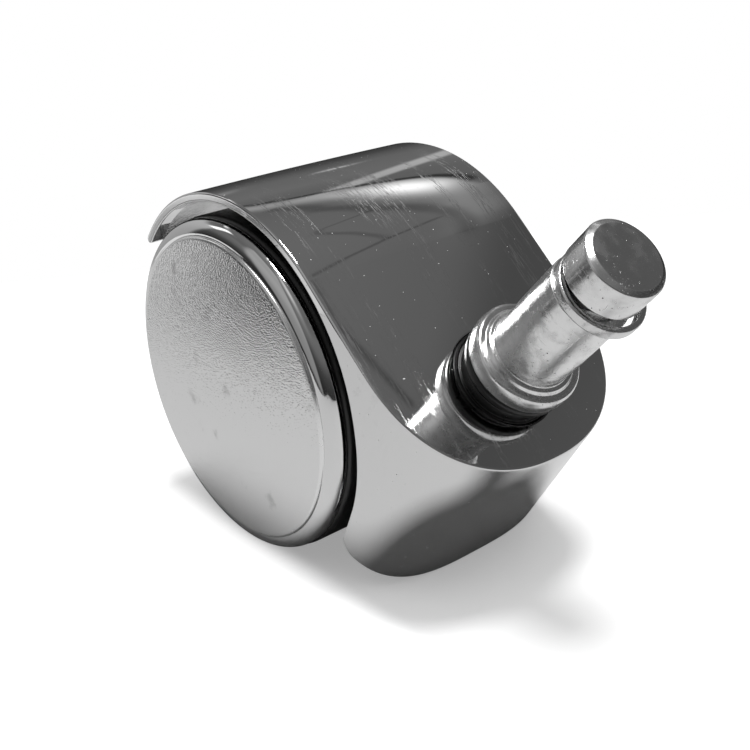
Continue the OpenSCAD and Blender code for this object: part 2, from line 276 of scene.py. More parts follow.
# %% Outlines of the hood
LIP_ABOVE_AXLE = 2.3
LIP_Z = AXLE_Z + LIP_ABOVE_AXLE
CREASE = {"front": 12.7, "start": -7.4, "half": HALF_W, "fullness": 2.26, "z": TOP_Z}
LIP = {"front": 15.8, "start": 0.0, "half": HALF_W, "fullness": 3.2, "z": LIP_Z}
BACK_WALL = 1.3
NOSE_WALL = 2.0
TOP_WALL = 2.2
WELL_R = BACK_R - BACK_WALL
MID_R = BACK_R - BACK_WALL / 2
CEILING_Z = TOP_Z - TOP_WALL
END_CROWDING = 3.5


def inset(outline, wall, z):
    """The same outline, one wall further in."""
    return dict(outline, front=outline["front"] - wall, half=outline["half"] - wall, z=z)


def outline_point(outline, u):
    """A point on the outline: u from 0 to 1 is the straight side, from 1 to 2 the bow round to the front."""
    if u <= 1:
        return np.array((AXLE_X + (outline["start"] - AXLE_X) * u, outline["half"], outline["z"]))
    t = min(u - 1, 1 - 1e-9)
    turn = (math.pi / 2) * (1 - t ** END_CROWDING / (t ** END_CROWDING + (1 - t) ** END_CROWDING))
    e = 2 / outline["fullness"]
    reach = outline["front"] - outline["start"]
    a = math.atan((outline["half"] / reach * math.tan(max(turn, 1e-12))) ** (1 / (2 - e)))
    x = outline["start"] + reach * math.cos(a) ** e
    return np.array((x, outline["half"] * math.sin(a) ** e, outline["z"]))


CREASE_IN = inset(CREASE, NOSE_WALL, CEILING_Z)
LIP_IN = inset(LIP, NOSE_WALL, LIP_Z)
print("crease reaches", outline_point(CREASE, 2).round(2), "and the lip", outline_point(LIP, 2).round(2))

# %% [markdown]
# The flanks end below where the wheels need room, on a circle about the axle, and in front at the lip.
# The corner between the two is rounded. Each ruling of the flank runs down from the crease
# and stops where it meets this edge, which a few halvings of the distance find.

# %% Lower edge of the flanks
CORNER_R = 3.6
HALVINGS = 40
PAST_THE_LIP = 1.02
corner_z = LIP_Z + CORNER_R
corner_x = AXLE_X + math.sqrt((WELL_R + CORNER_R) ** 2 - (corner_z - AXLE_Z) ** 2)


def is_metal(point):
    """True where the side of the nose is left, seen from the side."""
    x, z = point[0], point[2]
    if z < LIP_Z or math.hypot(x - AXLE_X, z - AXLE_Z) < WELL_R:
        return False
    before_centre = x < corner_x and z < corner_z
    past_tangent = (z - AXLE_Z) * (corner_x - AXLE_X) < (x - AXLE_X) * (corner_z - AXLE_Z)
    in_corner = before_centre and past_tangent
    return not in_corner or math.hypot(x - corner_x, z - corner_z) <= CORNER_R


def ruling_end(top, low):
    """Where the line from top towards low leaves the metal."""
    if not is_metal(top):
        x = top[0]
        return np.array((x, top[1], AXLE_Z + math.sqrt(max(WELL_R ** 2 - (x - AXLE_X) ** 2, 0))))
    near, away = 0.0, PAST_THE_LIP
    for _ in range(HALVINGS):
        middle = (near + away) / 2
        if is_metal(top + (low - top) * middle):
            near = middle
        else:
            away = middle
    return top + (low - top) * near


side_u = np.concatenate([np.linspace(0, 1, 500), np.linspace(1, 2, 2500)[1:]])
crease_line = np.array([outline_point(CREASE, u) for u in side_u])
edge_line = np.array([ruling_end(outline_point(CREASE, u), outline_point(LIP, u)) for u in side_u])
print("flank edge starts at", edge_line[0].round(2), "and ends at", edge_line[-1].round(2))

# %% [markdown]
# Stations are spread evenly over the longer of the two lines, so that tight bends get enough of them.
# A straight stretch with few stations and a bend with many would shade unevenly.
# Round the back they stand closer towards its free end, where the wall is rounded off.

# %% Stations round the hood
SIDE_STATIONS = 150
BACK_STATIONS = 64
BACK_CROWDING = 1.6
BACK_BELOW_AXLE = 1.9
crease_steps = np.linalg.norm(np.diff(crease_line, axis=0), axis=1)
edge_steps = np.linalg.norm(np.diff(edge_line, axis=0), axis=1)
travel = np.concatenate([[0], np.cumsum(np.maximum(crease_steps, edge_steps))])
station_u = np.interp(np.linspace(0, travel[-1], SIDE_STATIONS), travel, side_u)
station_u[-1] = 2.0
LIP_ANGLE = math.pi + math.asin(BACK_BELOW_AXLE / MID_R)
to_the_end = 1 - np.linspace(0, 1, BACK_STATIONS) ** BACK_CROWDING
back_angles = math.pi / 2 + (LIP_ANGLE - math.pi / 2) * to_the_end
print("stations a side:", BACK_STATIONS + SIDE_STATIONS - 1)

# %% [markdown]
# At each station the wall has a cross section: a rounded crease, the flank, a rounded lower edge,
# and then the inner wall up to the ceiling. Two small curves of the second degree round the edges.
# The same number of points everywhere lets all the sections join into one clean grid.

# %% Helpers for the wall's sections
CREASE_ROUND = 0.32
EDGE_ROUND = 0.24
LEAST_FLANK = 0.4
FILLET_ROWS = 7
FLANK_ROWS = 10
INNER_ROWS = 6
CROWN_RISE = 0.14
CROWN_FALL = 0.1


def line(start, stop, rows):
    """Points of a straight wall."""
    t = np.linspace(0, 1, rows)[:, None]
    return start + (stop - start) * t


def bend(start, corner, stop):
    """Points of a short rounded corner."""
    t = np.linspace(0, 1, FILLET_ROWS)[:, None]
    return (1 - t) ** 2 * start + 2 * t * (1 - t) * corner + t ** 2 * stop


def crown(x, y):
    """The top is not quite flat: it rises a little towards the middle and falls towards the nose."""
    return CROWN_RISE * (1 - (y / HALF_W) ** 2) - CROWN_FALL * max(x, 0) ** 2 / CREASE["front"] ** 2


print("points a section:", 2 * FILLET_ROWS + FLANK_ROWS - 2 + INNER_ROWS)

# %% [markdown]
# On the flank the rounding leans with the wall: inwards across the top and down along the ruling.
# Where the flank is very low, beside the wheel, both roundings shrink so that they still fit on it.

# %% Sections of the flank
def side_section(u):
    """Section of the wall from the crease above the axle to the nose, for positive y."""
    top, low = outline_point(CREASE, u), outline_point(LIP, u)
    end = ruling_end(top, low)
    top_in, low_in = outline_point(CREASE_IN, u), outline_point(LIP_IN, u)
    end_in = ruling_end(top_in, low_in)
    if not is_metal(top_in):
        top_in = end_in
    h = 1e-4
    after, before = min(u + h, 2 - 1e-7), max(min(u, 2 - 1e-5) - h, 0)
    along = outline_point(CREASE, after) - outline_point(CREASE, before)
    outward = unit(np.array((-along[1], along[0], 0.0))) if u < 2 - 1e-6 else np.array((1.0, 0.0, 0.0))
    if outward[1] < 0:
        outward = -outward
    down, across = unit(end - top), unit(end_in - end)
    size = min(1.0, np.linalg.norm(end - top) / (CREASE_ROUND + EDGE_ROUND + LEAST_FLANK))
    inner_start = top - outward * CREASE_ROUND * size
    top = top + np.array((0, 0, crown(top[0], top[1])))
    inner_start[2] += crown(inner_start[0], inner_start[1])
    flank_top, flank_low = top + down * CREASE_ROUND * size, end - down * EDGE_ROUND * size
    return np.vstack([
        bend(inner_start, top, flank_top),
        line(flank_top, flank_low, FLANK_ROWS)[1:-1],
        bend(flank_low, end, end + across * EDGE_ROUND * size),
        line(end_in, top_in, INNER_ROWS),
    ])


side_sections = [side_section(u) for u in station_u]
print("sections of a flank:", len(side_sections))

# %% [markdown]
# The back is a thin bent plate, so its section is a small rounded rectangle that stands on its edge.
# Towards the free end, behind the wheels, the plate thins to nothing along half a circle.

# %% Sections of the round back
def back_section(angle):
    """Section of the round back at an angle about the axle, for positive y."""
    from_end = (LIP_ANGLE - angle) * MID_R
    half = BACK_WALL / 2
    if from_end < half:
        half = math.sqrt(max(half ** 2 - (half - from_end) ** 2, 0))
    share = half / (BACK_WALL / 2)
    radial = np.array((math.cos(angle), 0, math.sin(angle)))
    centre = np.array((AXLE_X, 0, AXLE_Z))

    def at(y, r):
        return centre + radial * r + np.array((0, y, 0))

    out_r, in_r = MID_R + half, MID_R - half
    a, b = CREASE_ROUND * share, EDGE_ROUND * share
    return np.vstack([
        bend(at(HALF_W - a, out_r + crown(0, HALF_W - a) * share), at(HALF_W, out_r), at(HALF_W, out_r - a)),
        line(at(HALF_W, out_r - a), at(HALF_W, in_r + b), FLANK_ROWS)[1:-1],
        bend(at(HALF_W, in_r + b), at(HALF_W, in_r), at(HALF_W - b, in_r)),
        line(at(HALF_W - NOSE_WALL, in_r), at(HALF_W - NOSE_WALL, in_r), INNER_ROWS),
    ])


left_half = [back_section(a) for a in back_angles[:-1]] + side_sections
right_half = [section * (1, -1, 1) for section in left_half]
print("sections of a side:", len(left_half))

# %% [markdown]
# The two halves join at the nose into one wall. It has three finishes: polished outside, as cast inside,
# and a ground band on the rim that frames the wheels. Further parts of the shell are added as grids.

# %% Walls of the shell
POLISHED, AS_CAST, GROUND = 0, 1, 2
ring = right_half[:-1] + [left_half[-1]] + left_half[:-1][::-1]
stations, rows = len(ring), len(ring[0])
seam = BACK_STATIONS - 1
shell_points = [section[j] for j in range(rows) for section in ring]
shell_faces = grid_faces(rows, stations)
shell_finishes = []
rim_rows = range(FILLET_ROWS - 2, FILLET_ROWS + FLANK_ROWS)
for face in range(len(shell_faces)):
    row, station = divmod(face, stations - 1)
    on_rim = row in rim_rows and min(station, stations - 2 - station) < seam
    if row >= rows - INNER_ROWS:
        shell_finishes.append(AS_CAST)
    else:
        shell_finishes.append(GROUND if on_rim else POLISHED)


def add_grid(grid, closed_columns=False, finish=POLISHED):
    """Adds rows of points to the shell."""
    shell_faces.extend(grid_faces(len(grid), len(grid[0]), len(shell_points), closed_columns))
    shell_finishes.extend([finish] * (len(shell_faces) - len(shell_finishes)))
    shell_points.extend(p for row in grid for p in row)


print("wall:", stations, "stations of", rows, "points")

# %% [markdown]
# Over the wheels the back is closed by rows that run from the left wall to the right one.
# The outer skin follows the crown of the top, so its reflections run on without a kink.

# %% Round back of the shell
BACK_COLUMNS = 28
column_share = (1 - np.linspace(1, -1, BACK_COLUMNS + 1)) / 2


def across_back(index, row, crowned):
    """Points across the round back at one station, from left to right."""
    left, right = left_half[index][row], right_half[index][row]
    points = [left + (right - left) * s for s in column_share]
    if crowned:
        angle = back_angles[index]
        share = min(1.0, (np.linalg.norm(left[[0, 2]] - (AXLE_X, AXLE_Z)) - MID_R) / (BACK_WALL / 2))
        lift = crown(0, left[1]) * share
        radial = np.array((math.cos(angle), 0, math.sin(angle)))
        points = [p + radial * (crown(0, p[1]) * share - lift) for p in points]
    points[0], points[-1] = left, right
    return points


add_grid([across_back(i, 0, True) for i in range(seam + 1)])
add_grid([across_back(i, rows - 1, False) for i in range(seam + 1)], finish=AS_CAST)
print("faces with the back:", len(shell_faces))

# %% [markdown]
# The top plate and the ceiling under it are grids that shrink from the wall to the stem's bore,
# like the rings of a tree that has grown round a post.
# The bore, its bevel and the boss below are rows of the same loop, so the casting is a single closed skin.

# %% Top plate, ceiling and bore
TOP_ROWS = 34
INNER_CROWDING = 1.15
BORE_R = 7.0
BORE_BEVEL = 0.35
BUSH_SEAT = 0.9
BUSH_R = 6.5
BOSS_R = 8.2
BOSS_BEVEL = 0.3
BOSS_LOW_Z = TOP_Z - 15.4


def top_height(x, y):
    return TOP_Z + crown(x, y)


def ceiling_height(x, y):
    over_wheel = WELL_R ** 2 - (x - AXLE_X) ** 2
    return max(CEILING_Z, AXLE_Z + math.sqrt(over_wheel)) if over_wheel > 0 else CEILING_Z


def plate_grid(row, hole_r, height, hole_z):
    """A plate from the wall's row of points in to a round hole about the stem's axis."""
    outer = [right_half[i][row] for i in range(seam, len(right_half) - 1)]
    outer += [left_half[i][row] for i in range(len(left_half) - 1, seam, -1)]
    outer += across_back(seam, row, row == 0)[:-1]
    grid = []
    for k in range(TOP_ROWS + 1):
        t = (k / TOP_ROWS) ** INNER_CROWDING
        loop = []
        for p in outer:
            a = math.atan2(p[1], p[0])
            hole = np.array((hole_r * math.cos(a), hole_r * math.sin(a), hole_z))
            q = p + (hole - p) * t
            q[2] = p[2] if k == 0 else height(q[0], q[1])
            loop.append(q)
        grid.append(loop)
    return grid


top_grid = plate_grid(0, BORE_R + BORE_BEVEL, top_height, TOP_Z)
ceiling_grid = plate_grid(rows - 1, BOSS_R, ceiling_height, CEILING_Z)
bore = [(BORE_R, TOP_Z - BORE_BEVEL), (BORE_R, TOP_Z - BUSH_SEAT),
        (BUSH_R, TOP_Z - BUSH_SEAT), (BUSH_R, BOSS_LOW_Z + BOSS_BEVEL), (BUSH_R + BOSS_BEVEL, BOSS_LOW_Z),
        (BOSS_R - BOSS_BEVEL, BOSS_LOW_Z), (BOSS_R, BOSS_LOW_Z + BOSS_BEVEL)]
bore_rows = [top_grid[-1]]
for r, z in bore:
    bore_rows.append([np.array((*(p[:2] * r / math.hypot(p[0], p[1])), z)) for p in top_grid[-1]])
bore_rows.append(ceiling_grid[-1])
add_grid(top_grid, closed_columns=True)
add_grid(ceiling_grid, closed_columns=True, finish=AS_CAST)
add_grid(bore_rows, closed_columns=True, finish=AS_CAST)
print("shell:", len(shell_points), "points,", len(shell_faces), "faces")
hood_shell = make_piece("hood_shell", shell_points, shell_faces, shell_finishes)
place(hood_shell, "hood", "hood_chrome", "hood")

# %% [markdown]
# Inside, a web of flat plates ties the stem's boss and the axle's boss to the shell. Nobody sees it on a
# chair, but the castor in the picture lies loose, so the underside is modelled too.
# The plates come from their side outlines, given thickness and a small bevel.

# %% Web and axle boss inside the hood
WEB_HALF = 2.0
WEB_BEVEL = 0.4
WEB_TOP_Z = -7.7
STEM_END_Z = -22.0
BESIDE_STEM = 7.5
CLEAR_OF_STEM = 8.8
AXLE_BOSS_R = 5.5
AXLE_BOSS_HALF = 8.1
AXLE_HOLE_R = 2.52


def plate(name, outline, half):
    """A flat plate from an outline of (x, z) points, with softened edges."""
    count = len(outline)
    points = [(x, half, z) for x, z in outline] + [(x, -half, z) for x, z in outline]
    faces = [tuple(range(count)), tuple(range(2 * count - 1, count - 1, -1))]
    faces += [(i, (i + 1) % count, count + (i + 1) % count, count + i) for i in range(count)]
    piece = make_piece(name, points, faces)
    soft = piece.modifiers.new("soft edges", "BEVEL")
    soft.width = WEB_BEVEL * MM
    soft.segments = 3
    soft.limit_method = "ANGLE"
    piece.modifiers.move(1, 0)
    return piece


under_back = [(AXLE_X + MID_R * math.cos(a), AXLE_Z + MID_R * math.sin(a))
              for a in np.radians(range(116, 89, -2))]
rear_outline = under_back + [
    (-BESIDE_STEM, WEB_TOP_Z), (-BESIDE_STEM, STEM_END_Z), (-CLEAR_OF_STEM, STEM_END_Z),
    (-CLEAR_OF_STEM, -37.0), (-16.5, -39.0), (-22.0, -40.5), (-27.0, -35.5),
]
front_outline = [(CLEAR_OF_STEM, -32.5), (14.0, -31.2), (11.7, WEB_TOP_Z),
                 (BESIDE_STEM, WEB_TOP_Z), (BESIDE_STEM, STEM_END_Z), (CLEAR_OF_STEM, STEM_END_Z)]
place(plate("hood_web_rear", rear_outline, WEB_HALF), "hood", "hood_chrome", "hood")
place(plate("hood_web_front", front_outline, WEB_HALF), "hood", "hood_chrome", "hood")
boss_outline = rounded([
    (AXLE_HOLE_R, -AXLE_BOSS_HALF, 0.3), (AXLE_BOSS_R, -AXLE_BOSS_HALF, 0.5),
    (AXLE_BOSS_R, AXLE_BOSS_HALF, 0.5), (AXLE_HOLE_R, AXLE_BOSS_HALF, 0.3),
])
place(turned("hood_axle_boss", boss_outline, LEFT), "hood", "hood_chrome", "hood")

# %% [markdown]
# The stem is one turned bar: a tip, a groove for the grip ring, a shank, a low root step, a collar and the
# journal that swivels in the hood. Its corners are only broken, not round, except at the collar, which is
# softer. The groove near the lower end takes the clip that holds the stem in the hood.

# %% Stem
SHANK_R = 5.5
JOURNAL_R = 4.5
JOURNAL_BEVEL = 0.5
GROOVE_R = 4.2
GROOVE_Z = (14.3, 16.9)
CLIP_R = 3.8
CLIP_Z = (-23.7, -22.8)
TIP_BEVEL = (0.85, 0.5)
COLLAR_LOW_Z = -3.0
COLLAR_CROWN = 0.1
ROOT_R = (6.4, 6.1)
ROOT_Z = (0.5, 0.52)
stem_outline = rounded([
    (0, STEM_LOW.z, 0), (JOURNAL_R - JOURNAL_BEVEL, STEM_LOW.z, 0.1),
    (JOURNAL_R, STEM_LOW.z + JOURNAL_BEVEL, 0.15), (JOURNAL_R, CLIP_Z[0], 0.05), (CLIP_R, CLIP_Z[0], 0.05),
    (CLIP_R, CLIP_Z[1], 0.05), (JOURNAL_R, CLIP_Z[1], 0.05), (JOURNAL_R, COLLAR_LOW_Z, 0.2),
    (COLLAR_R - COLLAR_CROWN, COLLAR_LOW_Z, 0.75), (COLLAR_R, COLLAR_LOW_Z / 2, 3.0),
    (COLLAR_R - COLLAR_CROWN, 0, 0.85), (ROOT_R[0], 0, 0.25), (ROOT_R[1], ROOT_Z[0], 0.28),
    (SHANK_R, ROOT_Z[1], 0.15), (SHANK_R, GROOVE_Z[0], 0.18), (GROOVE_R, GROOVE_Z[0], 0.1),
    (GROOVE_R, GROOVE_Z[1], 0.1), (SHANK_R, GROOVE_Z[1], 0.22), (SHANK_R, STEM_HIGH.z - TIP_BEVEL[1], 0.35),
    (SHANK_R - TIP_BEVEL[0], STEM_HIGH.z, 0.4), (0, STEM_HIGH.z, 0),
])
place(turned("stem_turned", stem_outline), "stem", "plated_steel", "stem")

# %% [markdown]
# The grip ring is a band of spring steel with a split. It floats in the groove and has dropped to one side,
# so that daylight shows between it and the stem. Its section is swept from one side of the split round
# to the other, and the ends are closed with flat faces.

# %% Grip ring
RING_R = (5.2, 6.1)
RING_Z = (14.35, 15.9)
RING_OFF_CENTRE = 0.75
RING_LEANS_TO = math.radians(30)
RING_SPLIT = math.radians(120)
RING_GAP = 1.2
ring_section = rounded([(RING_R[0], RING_Z[0], 0.2), (RING_R[1], RING_Z[0], 0.3),
                        (RING_R[1], RING_Z[1], 0.3), (RING_R[0], RING_Z[1], 0.2)])
half_split = math.asin(RING_GAP / sum(RING_R))
shift_x = RING_OFF_CENTRE * math.cos(RING_LEANS_TO)
shift_y = RING_OFF_CENTRE * math.sin(RING_LEANS_TO)
ring_points = []
for a in np.linspace(RING_SPLIT + half_split, RING_SPLIT + 2 * math.pi - half_split, SPIN_STEPS):
    ring_points += [(shift_x + r * math.cos(a), shift_y + r * math.sin(a), z) for r, z in ring_section]
count, total = len(ring_section), len(ring_points)
ring_faces = grid_faces(SPIN_STEPS, count, closed_columns=True)
ring_faces += [tuple(range(count)), tuple(range(total - 1, total - 1 - count, -1))]
place(make_piece("grip_ring_band", ring_points, ring_faces), "grip_ring", "spring_steel", "grip_ring")

# %% [markdown]
# Under the collar sit a thin black washer and the neck of the nylon bush that the stem turns in.
# Together they make the dark waist between the stem and the polished top.
# A groove in the neck and soft roundings on the washer's rim catch one quiet highlight each.

# %% Dust washer and swivel bush
BUSH_IN_R = 4.55
BUSH_OUT_R = 6.48
FLANGE_R = 6.98
NECK_R = 6.6
NECK_GROOVE_R = 6.25
WASHER_R = 7.4
WASHER_Z = (-4.2, -3.1)
washer_outline = rounded([(BUSH_IN_R, WASHER_Z[0], 0.1), (WASHER_R, WASHER_Z[0], 0.35),
                          (WASHER_R, WASHER_Z[1], 0.35), (BUSH_IN_R, WASHER_Z[1], 0.1)])
place(turned("dust_washer_disc", washer_outline), "hood", "black_nylon", "dust_washer")
bush_outline = rounded([
    (BUSH_IN_R, BOSS_LOW_Z, 0.1), (BUSH_OUT_R, BOSS_LOW_Z, 0.2), (BUSH_OUT_R, TOP_Z - BUSH_SEAT, 0.05),
    (FLANGE_R, TOP_Z - BUSH_SEAT, 0.05), (FLANGE_R, TOP_Z - 0.02, 0.15), (NECK_R, TOP_Z + 0.05, 0.1),
    (NECK_R, -5.15, 0.15), (NECK_GROOVE_R, -5.0, 0.15), (NECK_GROOVE_R, -4.75, 0.15), (NECK_R, -4.6, 0.15),
    (NECK_R, WASHER_Z[0], 0.1), (BUSH_IN_R, WASHER_Z[0], 0.1),
])
place(turned("swivel_bush_sleeve", bush_outline), "hood", "black_nylon", "swivel_bush")

# %% [markdown]
# Each wheel wears a chromed cap: a domed pebbled face inside a fine step, and a polished rounded rim.
# All of it is one moulding with three finishes, so one mesh carries three materials,
# and the faces are sorted by their distance from the axle.

# %% Wheel caps
CAP_R = 25.3
CAP_THICK = 1.2
RIM_ROUND = 2.2
RIM_HEIGHT = 1.85
STEP_R = 23.1
STEP_GAP = 0.06
FACE_STEP = 0.42
EDGE_R = 0.42
EDGE_FROM_R = 22.6
FACE_R = 22.56
INSIDE_R = 21.6
PLUG_R = (19.8, 20.98)
PLUG_DEPTH = 3.0
cap_in = WHEEL_IN_Y + 10.4
rim_low = cap_in + 0.4
face_y = rim_low + RIM_HEIGHT + FACE_STEP


def quarter(r, y, reach_r, reach_y, count):
    """Points of a quarter of an ellipse, from its widest to its highest."""
    angles = np.linspace(0, math.pi / 2, count)
    return [(r + reach_r * math.cos(a), y + reach_y * math.sin(a)) for a in angles]


def domed(y, radii):
    """Points of the domed face, level at the step and highest at the axle."""
    return [(r, y + (CAP_OUT_Y - face_y) * (1 - (r / STEP_R) ** 2)) for r in radii]


def cap_finish(radius):
    """0 is the polished rim, 1 the pebbled face and 2 the satin edge between them."""
    if radius > STEP_R - 0.05:
        return 0
    return 2 if radius > EDGE_FROM_R else 1


cap_outline = [(CAP_R - 0.25, cap_in), (CAP_R - 0.06, cap_in + 0.1)]
cap_outline += quarter(STEP_R, rim_low, RIM_ROUND, RIM_HEIGHT, 20)
cap_outline += quarter(STEP_R - STEP_GAP - EDGE_R, face_y - EDGE_R + 0.02, EDGE_R, EDGE_R, 7)
cap_outline += domed(face_y, [FACE_R, *np.linspace(FACE_R - 0.16, 0, 26)])
cap_outline += domed(face_y - CAP_THICK, np.linspace(0, INSIDE_R, 12))
cap_outline += [(PLUG_R[0], cap_in + CAP_THICK), (PLUG_R[0], cap_in - PLUG_DEPTH),
                (PLUG_R[1], cap_in - PLUG_DEPTH), (PLUG_R[1], cap_in)]
for name, side in SIDES.items():
    cap = turned("wheel_cap_shell_" + name, cap_outline, side, cap_finish)
    place(cap, "wheel_" + name, "cap_chrome", "wheel_cap_" + name)

# %% [markdown]
# The treads are plain bands of hard black nylon with rounded edges and a faint parting line round
# the middle, where the two halves of the mould met.

# %% Treads
TREAD_THICK = 2.18
TREAD_WIDTH = 10.3
TREAD_ROUND = 0.8
LINE_HALF = 0.12
LINE_DEPTH = 0.06
tread_in = WHEEL_R - TREAD_THICK
tread_out_y = WHEEL_IN_Y + TREAD_WIDTH
middle_y = (WHEEL_IN_Y + tread_out_y) / 2
tread_outline = rounded([
    (tread_in, WHEEL_IN_Y, 0), (WHEEL_R, WHEEL_IN_Y, TREAD_ROUND), (WHEEL_R, middle_y - LINE_HALF, 0.05),
    (WHEEL_R - LINE_DEPTH, middle_y, 0.05), (WHEEL_R, middle_y + LINE_HALF, 0.05),
    (WHEEL_R, tread_out_y, TREAD_ROUND), (tread_in, tread_out_y, 0),
])
for name, side in SIDES.items():
    tread = turned("tread_band_" + name, tread_outline, side)
    place(tread, "wheel_" + name, "black_tread", "tread_" + name)

# %% [markdown]
# Now the finishes. Several of them share the same small effects: fine parallel marks, specks, and cloudy
# patches. Each effect is a node group with named sockets that gives back a mask from 0 to 1,
# so that every material can use it at its own scale and strength.
# All patterns read Object coordinates, in metres, so they stay on the piece when it turns.

# %% Helpers for nodes
def fill(tree, socket, value):
    """Gives a socket a link, if the value is a socket too, or else a plain value."""
    if isinstance(value, bpy.types.NodeSocket):
        tree.links.new(value, socket)
    else:
        socket.default_value = value


def add_node(tree, kind, **settings):
    """Adds a node. Settings named in_0 or in_Scale fill its inputs. Underscores stand for spaces there."""
    node = tree.nodes.new(kind)
    for key, value in settings.items():
        if not key.startswith("in_"):
            setattr(node, key, value)
    for key, value in settings.items():
        if key.startswith("in_"):
            label = key[3:].replace("_", " ")
            fill(tree, node.inputs[int(label) if label.isdigit() else label], value)
    return node


def maths(tree, operation, a, b=0.0):
    return add_node(tree, "ShaderNodeMath", operation=operation, in_0=a, in_1=b).outputs[0]


def ramp(tree, value, low, high, to_low=0.0, to_high=1.0):
    """A smooth step between two levels."""
    node = add_node(tree, "ShaderNodeMapRange", interpolation_type="SMOOTHSTEP", in_Value=value,
                    in_From_Min=low, in_From_Max=high, in_To_Min=to_low, in_To_Max=to_high)
    return node.outputs["Result"]


def noise(tree, vector, scale, **settings):
    return add_node(tree, "ShaderNodeTexNoise", in_Vector=vector, in_Scale=scale, **settings).outputs["Fac"]


def new_mask_group(name, **values):
    """A node group that turns a vector and some numbers into a mask. Gives its inputs and its result."""
    group = bpy.data.node_groups.new(name, "ShaderNodeTree")
    new_socket = group.interface.new_socket
    new_socket(name="Vector", in_out="INPUT", socket_type="NodeSocketVector")
    for label, value in values.items():
        socket = new_socket(name=label.replace("_", " "), in_out="INPUT", socket_type="NodeSocketFloat")
        socket.default_value = value
    new_socket(name="Mask", in_out="OUTPUT", socket_type="NodeSocketFloat")
    given = group.nodes.new("NodeGroupInput").outputs
    result = group.nodes.new("NodeGroupOutput").inputs["Mask"]
    return group, given, result


print("node helpers ready")

# %% [markdown]
# Fine marks are a noise that is squeezed across one direction and drawn out along the other,
# of which only the highest crests are kept. They come in patches, because a buffing wheel
# or a thumb touches some places more than others.

# %% Group: fine marks
CREST_EDGE = 0.08
PATCH_EDGE = 0.16
marks_group, given, result = new_mask_group(
    "Fine marks", Scale=1.0, Crest=0.62, Patch_scale=120.0, Patch_level=0.5)
tree = marks_group
lines = noise(tree, given["Vector"], given["Scale"], in_Detail=3.0, in_Roughness=0.6)
patches = noise(tree, given["Vector"], given["Patch scale"], in_Detail=2.0)
crests = ramp(tree, lines, given["Crest"], maths(tree, "ADD", given["Crest"], CREST_EDGE))
patches = ramp(tree, patches, given["Patch level"], maths(tree, "ADD", given["Patch level"], PATCH_EDGE))
fill(tree, result, maths(tree, "MULTIPLY", crests, patches))
print("group:", tree.name)

# %% [markdown]
# Specks are single cells of a Voronoi pattern. A cell shows a dot only if its own random number is low
# enough, which scatters them unevenly: dust on the polished top, pits in the plating of the stem.
# A fine noise is added to the distance, so that no dot is a perfect circle.

# %% Group: specks
WOBBLE_SCALE = 5200.0
WOBBLE = 0.14
SPECK_EDGE = (0.07, 0.05)
specks_group, given, result = new_mask_group("Specks", Scale=900.0, Size=0.12, Share=0.2)
tree = specks_group
cells = add_node(tree, "ShaderNodeTexVoronoi", in_Vector=given["Vector"], in_Scale=given["Scale"])
wobble = maths(tree, "MULTIPLY", noise(tree, given["Vector"], WOBBLE_SCALE), WOBBLE)
distance = maths(tree, "ADD", cells.outputs["Distance"], wobble)
dot_edge = maths(tree, "ADD", given["Size"], SPECK_EDGE[0])
dots = ramp(tree, distance, dot_edge, maths(tree, "ADD", dot_edge, SPECK_EDGE[1]), 1.0, 0.0)
chosen = add_node(tree, "ShaderNodeSeparateColor", in_0=cells.outputs["Color"])
present = maths(tree, "LESS_THAN", chosen.outputs[0], given["Share"])
strength = maths(tree, "MULTIPLY", present, chosen.outputs[1])
fill(tree, result, maths(tree, "MULTIPLY", dots, strength))
print("group:", tree.name)

# %% [markdown]
# Cloudy patches are plain noise between two levels. At a large scale they are handling marks,
# at a small one they are the uneven bite of a plating bath.

# %% Group: cloudy patches
cloud_group, given, result = new_mask_group("Cloudy patches", Scale=150.0, Low=0.4, High=0.7)
tree = cloud_group
clouds = noise(tree, given["Vector"], given["Scale"], in_Detail=4.0, in_Roughness=0.55)
fill(tree, result, ramp(tree, clouds, given["Low"], given["High"]))
print("group:", tree.name)

# %% [markdown]
# Every finish here is a grey Principled shader whose colour, roughness and height are varied by masks.
# A small class holds the material and offers these steps in a maker's words,
# so that each finish below can be read as a list of what was done to the surface.

# %% Helper for finishes
def grey(level):
    return (level, level, level, 1)


